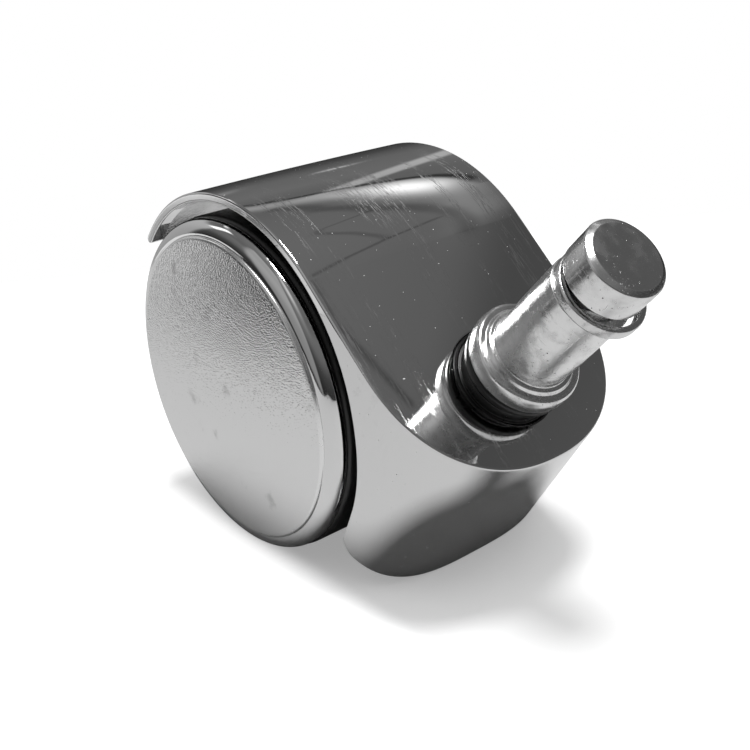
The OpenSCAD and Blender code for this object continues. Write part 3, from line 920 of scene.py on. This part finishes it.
class Finish:
    """A material with one Principled shader."""

    def __init__(self, name, metallic, roughness, level):
        self.material = bpy.data.materials.new(name)
        self.material.use_nodes = True
        self.tree = self.material.node_tree
        self.shader = self.tree.nodes["Principled BSDF"]
        self.here = self.tree.nodes.new("ShaderNodeTexCoord").outputs["Object"]
        self.give("Metallic", metallic)
        self.give("Roughness", roughness)
        self.give("Base Color", grey(level))
        print("finish:", name)

    def give(self, label, value):
        """Sets a socket of the shader, or links it."""
        fill(self.tree, self.shader.inputs[label], value)

    def mask(self, group, stretch=None, turn=(0, 0, 0), **values):
        """Places a group with this finish's own values. Its pattern may be squeezed and turned."""
        vector = self.here
        if stretch:
            node = add_node(self.tree, "ShaderNodeMapping", in_Vector=vector, in_Scale=stretch,
                            in_Rotation=[math.radians(a) for a in turn])
            vector = node.outputs["Vector"]
        named = {"in_" + label: value for label, value in values.items()}
        return add_node(self.tree, "ShaderNodeGroup", node_tree=group, in_Vector=vector, **named).outputs[0]

    def noise(self, scale, **settings):
        return noise(self.tree, self.here, scale, **settings)

    def either(self, a, b):
        return maths(self.tree, "MAXIMUM", a, b)

    def weigh(self, *terms):
        """The sum of masks, each times its weight."""
        parts = [a if weight == 1 else maths(self.tree, "MULTIPLY", a, weight) for a, weight in terms]
        total = parts[0]
        for part in parts[1:]:
            total = maths(self.tree, "ADD", total, part)
        return total

    def blend(self, mask, low, high):
        """One tone where the mask is 0, the other where it is 1."""
        node = add_node(self.tree, "ShaderNodeMix", data_type="RGBA", in_0=mask, in_6=low, in_7=high)
        return node.outputs[2]

    def tint(self, mask, low, high):
        """Greys between two levels."""
        self.give("Base Color", self.blend(mask, grey(low), grey(high)))

    def dull(self, base, *terms):
        """A base roughness and what the masks add to it."""
        self.give("Roughness", maths(self.tree, "ADD", self.weigh(*terms), base))

    def emboss(self, depth, *terms):
        """Lets the masks raise or sink the surface."""
        bump = add_node(self.tree, "ShaderNodeBump", in_Strength=1.0, in_Distance=depth,
                        in_Height=self.weigh(*terms))
        self.give("Normal", bump.outputs["Normal"])


print("finish helper ready")

# %% [markdown]
# The hood is zinc, polished and plated with chrome. It mirrors everything, the stem too, so its look is
# mostly what stands around it. What gives it scale are the buffing marks, which run over the back and along
# the top, a few finer diagonal scratches, and dust. Each of them changes the roughness and tilts the surface.

# %% Finish: polished hood
hood_chrome = Finish("polished chrome, hood", metallic=1.0, roughness=0.05, level=0.68)
buffed = hood_chrome.mask(marks_group, stretch=(0.07, 1.0, 0.07), Scale=5200.0, Crest=0.55,
                          Patch_scale=260.0, Patch_level=0.44)
diagonal = hood_chrome.mask(marks_group, stretch=(1.0, 0.08, 0.3), turn=(0, 0, 38), Scale=3600.0, Crest=0.63,
                            Patch_scale=180.0, Patch_level=0.56)
fine_dust = hood_chrome.mask(specks_group, Scale=1300.0, Size=0.05, Share=0.3)
large_dust = hood_chrome.mask(specks_group, stretch=(1.0, 0.55, 1.0), turn=(0, 0, 25),
                              Scale=760.0, Size=0.04, Share=0.22)
haze = hood_chrome.mask(cloud_group, Scale=110.0, Low=0.45, High=0.75)
wave = hood_chrome.noise(70.0, in_Detail=0.0)
dust = hood_chrome.either(fine_dust, large_dust)
marks = hood_chrome.either(buffed, hood_chrome.weigh((diagonal, 0.7)))
hood_chrome.dull(0.03, (marks, 0.2), (haze, 0.03), (dust, 0.6))
hood_chrome.tint(dust, 0.68, 0.8)
hood_chrome.emboss(0.00002, (wave, 1), (marks, 0.12), (dust, 0.35))
hood_chrome.give("Metallic", ramp(hood_chrome.tree, dust, 0.1, 0.6, 1.0, 0.0))

# %% [markdown]
# A buffing wheel can't reach the inside of the hood. There the plating lies on the skin of the casting,
# which is dull, a little wavy and clouded.

# %% Finish: inside of the hood
hood_cast = Finish("plated casting, inside of hood", metallic=1.0, roughness=0.3, level=0.5)
clouds = hood_cast.mask(cloud_group, Scale=160.0, Low=0.4, High=0.7)
hood_cast.tint(clouds, 0.55, 0.42)
hood_cast.give("Roughness", ramp(hood_cast.tree, clouds, 0.0, 1.0, 0.24, 0.36))
hood_cast.emboss(0.00004, (hood_cast.noise(1400.0, in_Detail=2.0), 1))

# %% [markdown]
# The rim that frames the wheels was only ground flat before plating. It is a satin band, duller than the
# polished top beside it, with a few lengthwise scratches. Its lighter tone is a painted highlight: a brighter
# copy of the same chrome.

# %% Finish: ground rim of the hood
# Painted highlight: a level of 0.82, above the top's 0.68, makes the band lighter.
hood_rim_painted_lighter = Finish("ground rim, painted lighter", metallic=1.0, roughness=0.16, level=0.82)
ground = hood_rim_painted_lighter.mask(marks_group, stretch=(0.2, 1.0, 0.2), Scale=3000.0, Crest=0.56,
                       Patch_scale=300.0, Patch_level=0.45)
hood_rim_painted_lighter.give("Roughness", ramp(hood_rim_painted_lighter.tree, ground, 0.0, 1.0, 0.14, 0.26))
hood_rim_painted_lighter.emboss(0.00001, (ground, 1))

# %% [markdown]
# The caps are plated plastic. The face comes from a mould with a fine pebble texture, so each grain has its
# own glint, and the whole is a soft grey with a few handling marks. The grain is a noise without detail,
# because a mould's pebbles all have about the same size.

# %% Finish: pebbled cap face
cap_face = Finish("pebbled chrome, cap face", metallic=1.0, roughness=0.3, level=0.72)
pebbles = cap_face.noise(4800.0, in_Detail=0.0)
smudge = cap_face.mask(cloud_group, Scale=190.0, Low=0.62, High=0.76)
worn = cap_face.mask(marks_group, stretch=(0.2, 1.0, 1.0), turn=(0, 20, 0), Scale=1500.0, Crest=0.66,
                     Patch_scale=150.0, Patch_level=0.56)
cap_face.tint(smudge, 0.72, 0.5)
cap_face.dull(0.08, (smudge, 0.12), (worn, -0.05))
cap_face.emboss(0.000045, (pebbles, 1))

# %% [markdown]
# The rim of the cap is smooth and nearly as bright as the hood, with faint rings left by polishing the
# mould. A slow wave keeps its long highlight from being too perfect.

# %% Finish: polished cap rim
cap_rim = Finish("polished chrome, cap rim", metallic=1.0, roughness=0.08, level=0.7)
rings = cap_rim.mask(marks_group, stretch=(0.6, 1.0, 0.6), Scale=900.0, Crest=0.6,
                     Patch_scale=200.0, Patch_level=0.5)
scuffs = cap_rim.mask(cloud_group, Scale=700.0, Low=0.6, High=0.8)
cap_rim.dull(0.06, (rings, 0.1), (scuffs, 0.12))
cap_rim.emboss(0.00003, (cap_rim.noise(260.0, in_Detail=1.0), 1))

# %% [markdown]
# The face ends in a narrow bevelled edge with a satin skin. It catches the lamp over a long arc,
# which is the white line just inside the rim.

# %% Finish: satin edge of the cap face
cap_edge = Finish("satin chrome, edge of the cap face", metallic=1.0, roughness=0.26, level=0.8)
nicks = cap_edge.mask(cloud_group, Scale=1200.0, Low=0.5, High=0.75)
cap_edge.give("Roughness", ramp(cap_edge.tree, nicks, 0.0, 1.0, 0.24, 0.32))

# %% [markdown]
# The stem is turned steel with a thin zinc plating. It is brighter and duller than the chrome, cloudy,
# and full of dark pits and small scuffs from handling. The turning tool has left fine rings round it.

# %% Finish: zinc-plated stem
stem_zinc = Finish("zinc-plated steel, scuffed", metallic=1.0, roughness=0.28, level=0.72)
pits = stem_zinc.mask(specks_group, Scale=1500.0, Size=0.1, Share=0.5)
large_pits = stem_zinc.mask(specks_group, Scale=620.0, Size=0.08, Share=0.3)
cloudy = stem_zinc.mask(cloud_group, Scale=420.0, Low=0.42, High=0.72)
turning = stem_zinc.mask(marks_group, stretch=(0.15, 0.15, 1.0), Scale=3000.0, Crest=0.58,
                         Patch_scale=300.0, Patch_level=0.45)
scuff = stem_zinc.mask(marks_group, stretch=(1.0, 1.0, 0.12), turn=(18, 0, 30), Scale=2600.0, Crest=0.64,
                       Patch_scale=260.0, Patch_level=0.54)
wave = stem_zinc.noise(900.0, in_Detail=2.0)
all_pits = stem_zinc.either(pits, large_pits)
tone = stem_zinc.blend(cloudy, grey(0.76), grey(0.62))
stem_zinc.give("Base Color", stem_zinc.blend(all_pits, tone, grey(0.16)))
stem_zinc.dull(0.19, (cloudy, 0.14), (all_pits, 0.3), (scuff, 0.3))
stem_zinc.emboss(0.00003, (turning, 0.15), (all_pits, -1.0), (scuff, -0.6), (wave, 0.5))

# %% [markdown]
# The spring ring was blasted, so it has a coarse bright grain. Oil from the hardening has left dark stains.

# %% Finish: blasted spring steel
spring_steel = Finish("spring steel, blasted", metallic=1.0, roughness=0.28, level=0.66)
stain = spring_steel.mask(cloud_group, Scale=500.0, Low=0.5, High=0.75)
spring_steel.tint(stain, 0.7, 0.45)
spring_steel.give("Roughness", ramp(spring_steel.tree, stain, 0.0, 1.0, 0.2, 0.38))
spring_steel.emboss(0.00004, (spring_steel.noise(3400.0, in_Detail=2.0, in_Roughness=0.6), 1))

# %% [markdown]
# The axle is cut from drawn rod, so its marks run lengthwise, and a film of oil darkens it in patches.
# The washers and bushes beside it share this plain look.

# %% Finish: plain steel of the axle, washers and bushes
axle_steel = Finish("drawn steel, oiled", metallic=1.0, roughness=0.3, level=0.5)
drawn = axle_steel.mask(marks_group, stretch=(1.0, 0.06, 1.0), Scale=4200.0, Crest=0.55,
                        Patch_scale=300.0, Patch_level=0.4)
oil = axle_steel.mask(cloud_group, Scale=380.0, Low=0.4, High=0.7)
axle_steel.tint(oil, 0.54, 0.36)
axle_steel.dull(0.22, (drawn, 0.15), (oil, 0.1))
axle_steel.emboss(0.00001, (drawn, 1))

# %% [markdown]
# The black parts are nylon. On the bush and its washer it is smooth and a little greasy, on the treads it
# is rubbed dull in the running direction, and the wheel bodies keep the fine grain of their mould.

# %% Finish: black nylon, three states
def black_nylon(name, level, roughness, grain_scale, grain_depth, rub, worn_level):
    """Nylon with mould grain, and rubbed marks that are lighter and duller."""
    nylon = Finish(name, metallic=0.0, roughness=roughness, level=level)
    rubbed = nylon.mask(marks_group, stretch=rub, Scale=1800.0, Crest=0.56,
                        Patch_scale=240.0, Patch_level=0.42)
    grease = nylon.mask(cloud_group, Scale=260.0, Low=0.45, High=0.7)
    nylon.tint(rubbed, level, worn_level)
    nylon.dull(roughness, (rubbed, 0.15), (grease, -0.12))
    nylon.emboss(grain_depth, (nylon.noise(grain_scale, in_Detail=2.0), 1))
    return nylon


bush_nylon = black_nylon("black nylon, greased bush", level=0.009, roughness=0.32, grain_scale=2400.0,
                         grain_depth=0.00001, rub=(0.2, 0.2, 1.0), worn_level=0.02)
tread_nylon = black_nylon("black nylon, tread", level=0.012, roughness=0.42, grain_scale=2000.0,
                          grain_depth=0.00002, rub=(0.15, 1.0, 0.15), worn_level=0.03)
core_nylon = black_nylon("black nylon, wheel body", level=0.014, roughness=0.5, grain_scale=1600.0,
                         grain_depth=0.00002, rub=(1.0, 1.0, 1.0), worn_level=0.022)

# %% [markdown]
# Every piece gets its finish by name. A new piece has one slot for each of its finishes.
# The solids that stay as they are get one finish in all their material slots.

# %% Dress the pieces
DRESS = {
    "hood_shell": [hood_chrome, hood_cast, hood_rim_painted_lighter], "hood_web_rear": [hood_cast],
    "hood_web_front": [hood_cast], "hood_axle_boss": [hood_cast], "stem_turned": [stem_zinc],
    "grip_ring_band": [spring_steel], "dust_washer_disc": [bush_nylon], "swivel_bush_sleeve": [bush_nylon],
    "stem_washer": [axle_steel], "stem_clip": [spring_steel], "axle": [axle_steel],
}
for name in SIDES:
    DRESS["wheel_cap_shell_" + name] = [cap_rim, cap_face, cap_edge]
    DRESS["tread_band_" + name] = [tread_nylon]
    DRESS["wheel_core_" + name] = [core_nylon]
    DRESS["hub_bush_" + name] = [axle_steel]
    DRESS["spacer_washer_" + name] = [axle_steel]
    DRESS["axle_clip_" + name] = [spring_steel]
for name, finishes in DRESS.items():
    if name in frame["nodes"]:
        for slot in frame["nodes"][name].material_slots:
            slot.material = finishes[0].material
    else:
        for index, finish in enumerate(finishes):
            bpy.data.objects[name].data.materials[index] = finish.material
print("dressed:", len(DRESS))

# %% [markdown]
# The castor lies on a small sheet of white paper in a dark room, with one soft lamp almost straight above.
# That is why the flank is light where it mirrors the paper, the nose is dark where it mirrors its own shadow,
# and the top is dark where it mirrors the room. The studio hangs on the hood, so it tips and turns with it.
# Directions in it are seen from the castor: a turn from the camera's side to the right, and a height.

# %% Studio frame
table_centre = (Vector((AXLE_X, 0, AXLE_Z)) - TABLE_UP * WHEEL_R) * MM
to_camera = EYE * MM - table_centre
near = (to_camera - TABLE_UP * to_camera.dot(TABLE_UP)).normalized()
side = near.cross(TABLE_UP)
side = side if side.dot(camera_right) > 0 else -side


def studio_direction(turn, height):
    """Unit vector for a turn from the camera's side towards the right, and a height above the table."""
    a, h = math.radians(turn), math.radians(height)
    return (near * math.cos(a) + side * math.sin(a)) * math.cos(h) + TABLE_UP * math.sin(h)


def hang(thing):
    """Hangs a part of the studio on the hood's body."""
    thing.parent = frame["bodies"]["hood"]
    return thing


def hide_from(thing, *rays):
    """Makes a part of the studio invisible to some kinds of rays."""
    for ray in rays:
        setattr(thing, "visible_" + ray, False)


def bare_material(name):
    """A material whose nodes are still to be made."""
    material = bpy.data.materials.new(name)
    material.use_nodes = True
    material.node_tree.nodes.clear()
    return material, material.node_tree


def flat_sheet(name, edges, material):
    """A sheet on the table, with its edges given in metres from the point under the axle."""
    order = (("far", "left"), ("far", "right"), ("near", "right"), ("near", "left"))
    corners = [table_centre + near * edges[a] + side * edges[b] for a, b in order]
    mesh = bpy.data.meshes.new(name)
    mesh.from_pydata([tuple(p) for p in corners], [], [(0, 1, 2, 3)])
    mesh.materials.append(material)
    if mesh.polygons[0].normal.dot(TABLE_UP) < 0:
        mesh.flip_normals()
    return add_object(name, mesh)


camera_height = math.degrees(math.asin(to_camera.normalized().dot(TABLE_UP)))
print("camera is", round(camera_height, 1), "degrees above the table")

# %% [markdown]
# To the camera the paper is nearly white with a pale shadow. In the chrome the same shadow is much deeper.
# Light Path tells the two apart. For the camera some glow is added: less of it where the castor is close,
# which paints a darker contact shade round it, and more beyond a straight line in front and at the left,
# which paints the shadow out.
# From below the paper is clear, so that the underside can be looked at.

# %% Paper
PAPER_EDGES = {"far": -0.15, "near": 0.45, "left": -0.118, "right": 0.3}
PAPER_GREY = 0.8
CAMERA_SHADOW = 0.85
# Glow for the camera: it rises with openness, which paints a contact shade near the castor, and a band across
# the paper lifts it further, which paints the shadow out.
CAMERA_LIFT = (0.33, 0.64)
SHADE_REACH = 0.04
OPENNESS = (0.15, 0.95)
FADE = (0.0175, 0.023)
PAINTED_WASH_LIFT = 0.45
fade_direction = (near * 21 - side * 30).normalized()
fade_offset = table_centre.dot(fade_direction)

paper, tree = bare_material("white paper")
lit = add_node(tree, "ShaderNodeBsdfDiffuse", in_Color=grey(PAPER_GREY))
lit_for_camera = add_node(tree, "ShaderNodeBsdfDiffuse", in_Color=grey(PAPER_GREY * CAMERA_SHADOW))
# Painted contact shade: ambient occlusion sets the camera's glow, so the paper is painted darker close to the
# castor.
closeness = add_node(tree, "ShaderNodeAmbientOcclusion", samples=12, in_Distance=SHADE_REACH)
shade = ramp(tree, closeness.outputs["AO"], *OPENNESS, *CAMERA_LIFT)
on_paper = tree.nodes.new("ShaderNodeTexCoord").outputs["Object"]
# Painted light: past a straight line the camera's glow rises, which washes the shadow out on the paper.
across = add_node(tree, "ShaderNodeVectorMath", operation="DOT_PRODUCT", in_0=on_paper, in_1=fade_direction)
painted_wash = ramp(tree, across.outputs["Value"], fade_offset + FADE[0], fade_offset + FADE[1], 0.0, PAINTED_WASH_LIFT)
lift = add_node(tree, "ShaderNodeEmission", in_Strength=maths(tree, "ADD", shade, painted_wash))
pale = add_node(tree, "ShaderNodeAddShader", in_0=lit_for_camera.outputs[0], in_1=lift.outputs[0])
path = tree.nodes.new("ShaderNodeLightPath")
by_ray = add_node(tree, "ShaderNodeMixShader", in_0=path.outputs["Is Camera Ray"],
                  in_1=lit.outputs[0], in_2=pale.outputs[0])
clear = tree.nodes.new("ShaderNodeBsdfTransparent")
geometry = tree.nodes.new("ShaderNodeNewGeometry")
one_sided = add_node(tree, "ShaderNodeMixShader", in_0=geometry.outputs["Backfacing"],
                     in_1=by_ray.outputs[0], in_2=clear.outputs[0])
add_node(tree, "ShaderNodeOutputMaterial", in_0=one_sided.outputs[0])
sheet = flat_sheet("paper", PAPER_EDGES, paper)
hang(sheet)
print("paper edges:", PAPER_EDGES)

# %% [markdown]
# A second white card lies further left, out of the picture. The flat rim of the hood stands high enough
# to mirror it, while the wheel cap below still mirrors the dark gap between the two sheets.

# %% Card on the left
CARD_EDGES = {"far": -0.22, "near": -0.068, "left": -0.37, "right": -0.24}
CARD_LEVEL = 0.95
card_material, tree = bare_material("white card")
card_light = add_node(tree, "ShaderNodeEmission", in_Strength=CARD_LEVEL)
add_node(tree, "ShaderNodeOutputMaterial", in_0=card_light.outputs[0])
card = flat_sheet("card", CARD_EDGES, card_material)
hide_from(card, "camera", "diffuse", "shadow")
hang(card)
print("card edges:", CARD_EDGES)

# %% [markdown]
# The room is a large ball round everything that only mirrors can see. Its glow is worked out point by
# point from a few soft shapes: boxes with blurred edges, round patches and thin lines.
# An image would do as well, but shapes can be moved one by one until each reflection sits where it should.

# %% Shapes of light
def soft_step(value, start, edge):
    """Rises smoothly from 0 to 1 over an edge."""
    t = np.clip((value - start) / edge + 0.5, 0, 1)
    return t * t * (3 - 2 * t)


def soft_box(value, low, high, edge):
    """1 between two limits, falling to 0 over an edge."""
    return soft_step(value, low, edge) * soft_step(-value, -high, edge)


def blob(turn, height, centre, spread):
    """A soft round patch about a direction."""
    return np.exp(-((turn - centre[0]) / spread[0]) ** 2 - ((height - centre[1]) / spread[1]) ** 2)


def thin_line(turn, height, points, width):
    """1 along a thin bent line through some directions, falling to 0 over its width."""
    mask = np.zeros_like(turn)
    for (t0, h0), (t1, h1) in zip(points[:-1], points[1:]):
        u = ((turn - t0) * (t1 - t0) + (height - h0) * (h1 - h0)) / ((t1 - t0) ** 2 + (h1 - h0) ** 2)
        u = np.clip(u, 0, 1)
        off = np.hypot(turn - t0 - u * (t1 - t0), height - h0 - u * (h1 - h0))
        mask = np.maximum(mask, np.clip(1.5 - off / width, 0, 1))
    return mask


print("a box's edge is half lit:", float(soft_box(np.array(0.0), 0, 1, 0.5)))

# %% [markdown]
# What stands in the room was read from the reflections, each of which points to one direction:
# pale sheets on the left, a glow above the camera, and a lit strip high at the back. The strip ends below
# in a sharp dark seam, is brightest behind the castor and is crossed by thin dark lines.
# A slanting streak and two small marks stand under it. All directions are in degrees.

# %% What stands in the room
BASE_HEIGHTS = [-90, -5, 8, 20, 32, 38, 46, 52, 70, 90]
BASE_GLOW = [0.03, 0.03, 0.07, 0.16, 0.19, 0.16, 0.15, 0.17, 0.2, 0.3]
BOXES = {
    "left sheet": {"turn": (-156, -115, 4), "height": (-18, 30, 8), "glow": 0.38},
    "foot of the left sheet": {"turn": (-150, -117.5, 2), "height": (-21, -8, 3), "glow": 0.3},
    "left side of the room": {"turn": (-90, -45, 8), "height": (-12, 60, 6), "glow": 0.27},
    "low strip": {"turn": (-112.5, -105, 2), "height": (-18.8, -13.4, 1.2), "glow": 0.8},
    "spot": {"turn": (-124, -114, 3), "height": (28, 46, 4), "glow": 1.5},
}
PATCHES = {
    "above the camera": {"centre": (-20, 60), "spread": (14, 18), "glow": 0.6},
    "mark at the back": {"centre": (178, 21), "spread": (1.3, 0.9), "glow": 0.5},
    "second mark": {"centre": (-173.5, 20), "spread": (1.2, 3), "glow": 0.12},
}
DIM_RIGHT = {"turn": (56, 116, 12), "height": (22, 43, 6), "depth": 0.45}
SEAM = {"turns": [140, 154, 165, 173, 180], "heights": [45, 42.6, 41.8, 41.4, 39.2],
        "cuts_from": 136, "cut_edge": 0.7, "dark": (141, 184, 4), "below": 0.9, "above": 0.1,
        "dark_edge": 0.6, "depth": 0.75}
STRIP = {"turns": [110, 125, 140, 152, 158, 170, 180], "heights": [45.1, 47.4, 47.0, 45.8, 44.6, 43.4, 41.7],
         "spread": 2.1, "around": (108, 184, 16)}
STRIP_GLOW = {"turns": [110, 130, 145], "glow": [0.1, 0.16, 0.24], "peak": 1.2, "peak_at": 151, "spread": 9.5}
STREAK = {"slant": (165, 169, 2), "height": (18, 42, 4), "glow": 0.35, "lean": 0.11, "lean_from": 41}
DARK_LINES = [
    (0.3, 0.5, [(93.4, 53.5), (90.3, 51.2), (88, 47.6), (86.7, 44.9)]),
    (0.35, 0.4, [(96.5, 54.9), (104, 53.5), (110.7, 52), (117.3, 49.1)]),
    (0.35, 0.3, [(110.7, 52), (118.6, 54.5), (129, 57), (134, 57.8), (137.3, 57.2), (141, 52.2)]),
    (0.8, 0.35, [(104.8, 44.1), (115.7, 47.4), (126, 49.9), (141, 52.1), (157, 50.8), (170, 46)]),
]


def room_glow(turn, height):
    """Brightness of the room in a direction, in degrees."""
    around = np.abs(turn)
    dim = soft_box(turn, *DIM_RIGHT["turn"]) * soft_box(height, *DIM_RIGHT["height"])
    glow = np.interp(height, BASE_HEIGHTS, BASE_GLOW) * (1 - DIM_RIGHT["depth"] * dim)
    for box in BOXES.values():
        glow += soft_box(turn, *box["turn"]) * soft_box(height, *box["height"]) * box["glow"]
    for patch in PATCHES.values():
        glow += blob(turn, height, patch["centre"], patch["spread"]) * patch["glow"]
    seam = np.interp(around, SEAM["turns"], SEAM["heights"])
    middle = np.interp(around, STRIP["turns"], STRIP["heights"])
    strip = np.exp(-((height - middle) / STRIP["spread"]) ** 2) * soft_box(around, *STRIP["around"])
    strip *= soft_box(height, np.where(around > SEAM["cuts_from"], seam, -90), 90, SEAM["cut_edge"])
    peak = STRIP_GLOW["peak"] * np.exp(-((around - STRIP_GLOW["peak_at"]) / STRIP_GLOW["spread"]) ** 2)
    glow += strip * (np.interp(around, STRIP_GLOW["turns"], STRIP_GLOW["glow"]) + peak)
    slant = turn + (STREAK["lean_from"] - height) * STREAK["lean"]
    glow += soft_box(slant, *STREAK["slant"]) * soft_box(height, *STREAK["height"]) * STREAK["glow"]
    under_strip = soft_box(height, seam - SEAM["below"], seam + SEAM["above"], SEAM["dark_edge"])
    glow *= 1 - SEAM["depth"] * soft_box(around, *SEAM["dark"]) * under_strip
    for width, depth, points in DARK_LINES:
        glow *= 1 - depth * thin_line(turn, height, points, width)
    return glow


print("boxes:", len(BOXES), "patches:", len(PATCHES), "dark lines:", len(DARK_LINES))

# %% [markdown]
# The ball's points stand closer where there is more to draw: to the right, where the strip is mirrored,
# and around its height. Each point carries its glow as an attribute that the material reads.

# %% Room that the chrome mirrors
ROOM_R = 0.8
room_centre = Vector((AXLE_X, 0, AXLE_Z / 2)) * MM
turns = np.concatenate([np.arange(-180, -165, 0.5), np.arange(-165, 84, 1.5), np.arange(84, 180, 0.3)])
heights = np.concatenate([np.arange(-90, -24, 6), np.arange(-24, 40, 1),
                          np.arange(40, 59, 0.3), np.arange(59, 91, 2)])
room_points = [tuple(room_centre + studio_direction(t, h) * ROOM_R) for h in heights for t in turns]
mesh = bpy.data.meshes.new("room")
mesh.from_pydata(room_points, [], grid_faces(len(heights), len(turns), closed_columns=True))
grid_turn, grid_height = np.meshgrid(turns, heights)
glow = mesh.attributes.new("glow", "FLOAT", "POINT")
glow.data.foreach_set("value", room_glow(grid_turn, grid_height).astype(np.float32).ravel())
room_material, tree = bare_material("room")
level = add_node(tree, "ShaderNodeAttribute", attribute_name="glow")
room_light = add_node(tree, "ShaderNodeEmission", in_Strength=level.outputs["Fac"])
add_node(tree, "ShaderNodeOutputMaterial", in_0=room_light.outputs[0])
room_material.cycles.emission_sampling = "NONE"
mesh.materials.append(room_material)
room = add_object("room", mesh)
hide_from(room, "camera", "diffuse", "transmission", "shadow")
hang(room)
print("room points:", len(room_points))

# %% [markdown]
# One soft lamp stands almost straight above. Its distance and strength are set so that the white paper
# comes out at its own tone. The world adds a weak fill from all sides, and is white to the camera.

# %% Lamp and world
LAMP_DISTANCE = 0.75
LAMP_SIZE = 0.21
LAMP_AT = (74, 81)
PAPER_LEVEL = 0.68
WORLD_FILL = 0.13
lamp_data = bpy.data.lights.new("soft lamp", "AREA")
lamp_data.shape = "DISK"
lamp_data.size = LAMP_SIZE
lamp_data.energy = PAPER_LEVEL / PAPER_GREY * math.pi * math.pi * LAMP_DISTANCE ** 2
lamp_direction = studio_direction(*LAMP_AT)
lamp_place = Matrix.Translation(table_centre + lamp_direction * LAMP_DISTANCE)
soft_lamp = add_object("soft lamp", lamp_data)
soft_lamp.matrix_world = lamp_place @ lamp_direction.to_track_quat("Z", "Y").to_matrix().to_4x4()
hang(soft_lamp)

world = bpy.data.worlds.new("studio world")
bpy.context.scene.world = world
world.use_nodes = True
tree = world.node_tree
tree.nodes.clear()
weak = add_node(tree, "ShaderNodeBackground", in_Strength=WORLD_FILL)
white = add_node(tree, "ShaderNodeBackground", in_Color=grey(1), in_Strength=1.0)
path = tree.nodes.new("ShaderNodeLightPath")
seen = maths(tree, "MAXIMUM", path.outputs["Is Camera Ray"], path.outputs["Is Glossy Ray"])
seen = maths(tree, "MAXIMUM", seen, path.outputs["Is Transmission Ray"])
both = add_node(tree, "ShaderNodeMixShader", in_0=seen, in_1=weak.outputs[0], in_2=white.outputs[0])
add_node(tree, "ShaderNodeOutputWorld", in_0=both.outputs[0])
bpy.context.scene.view_settings.view_transform = "Standard"
print("lamp power:", round(lamp_data.energy, 2))
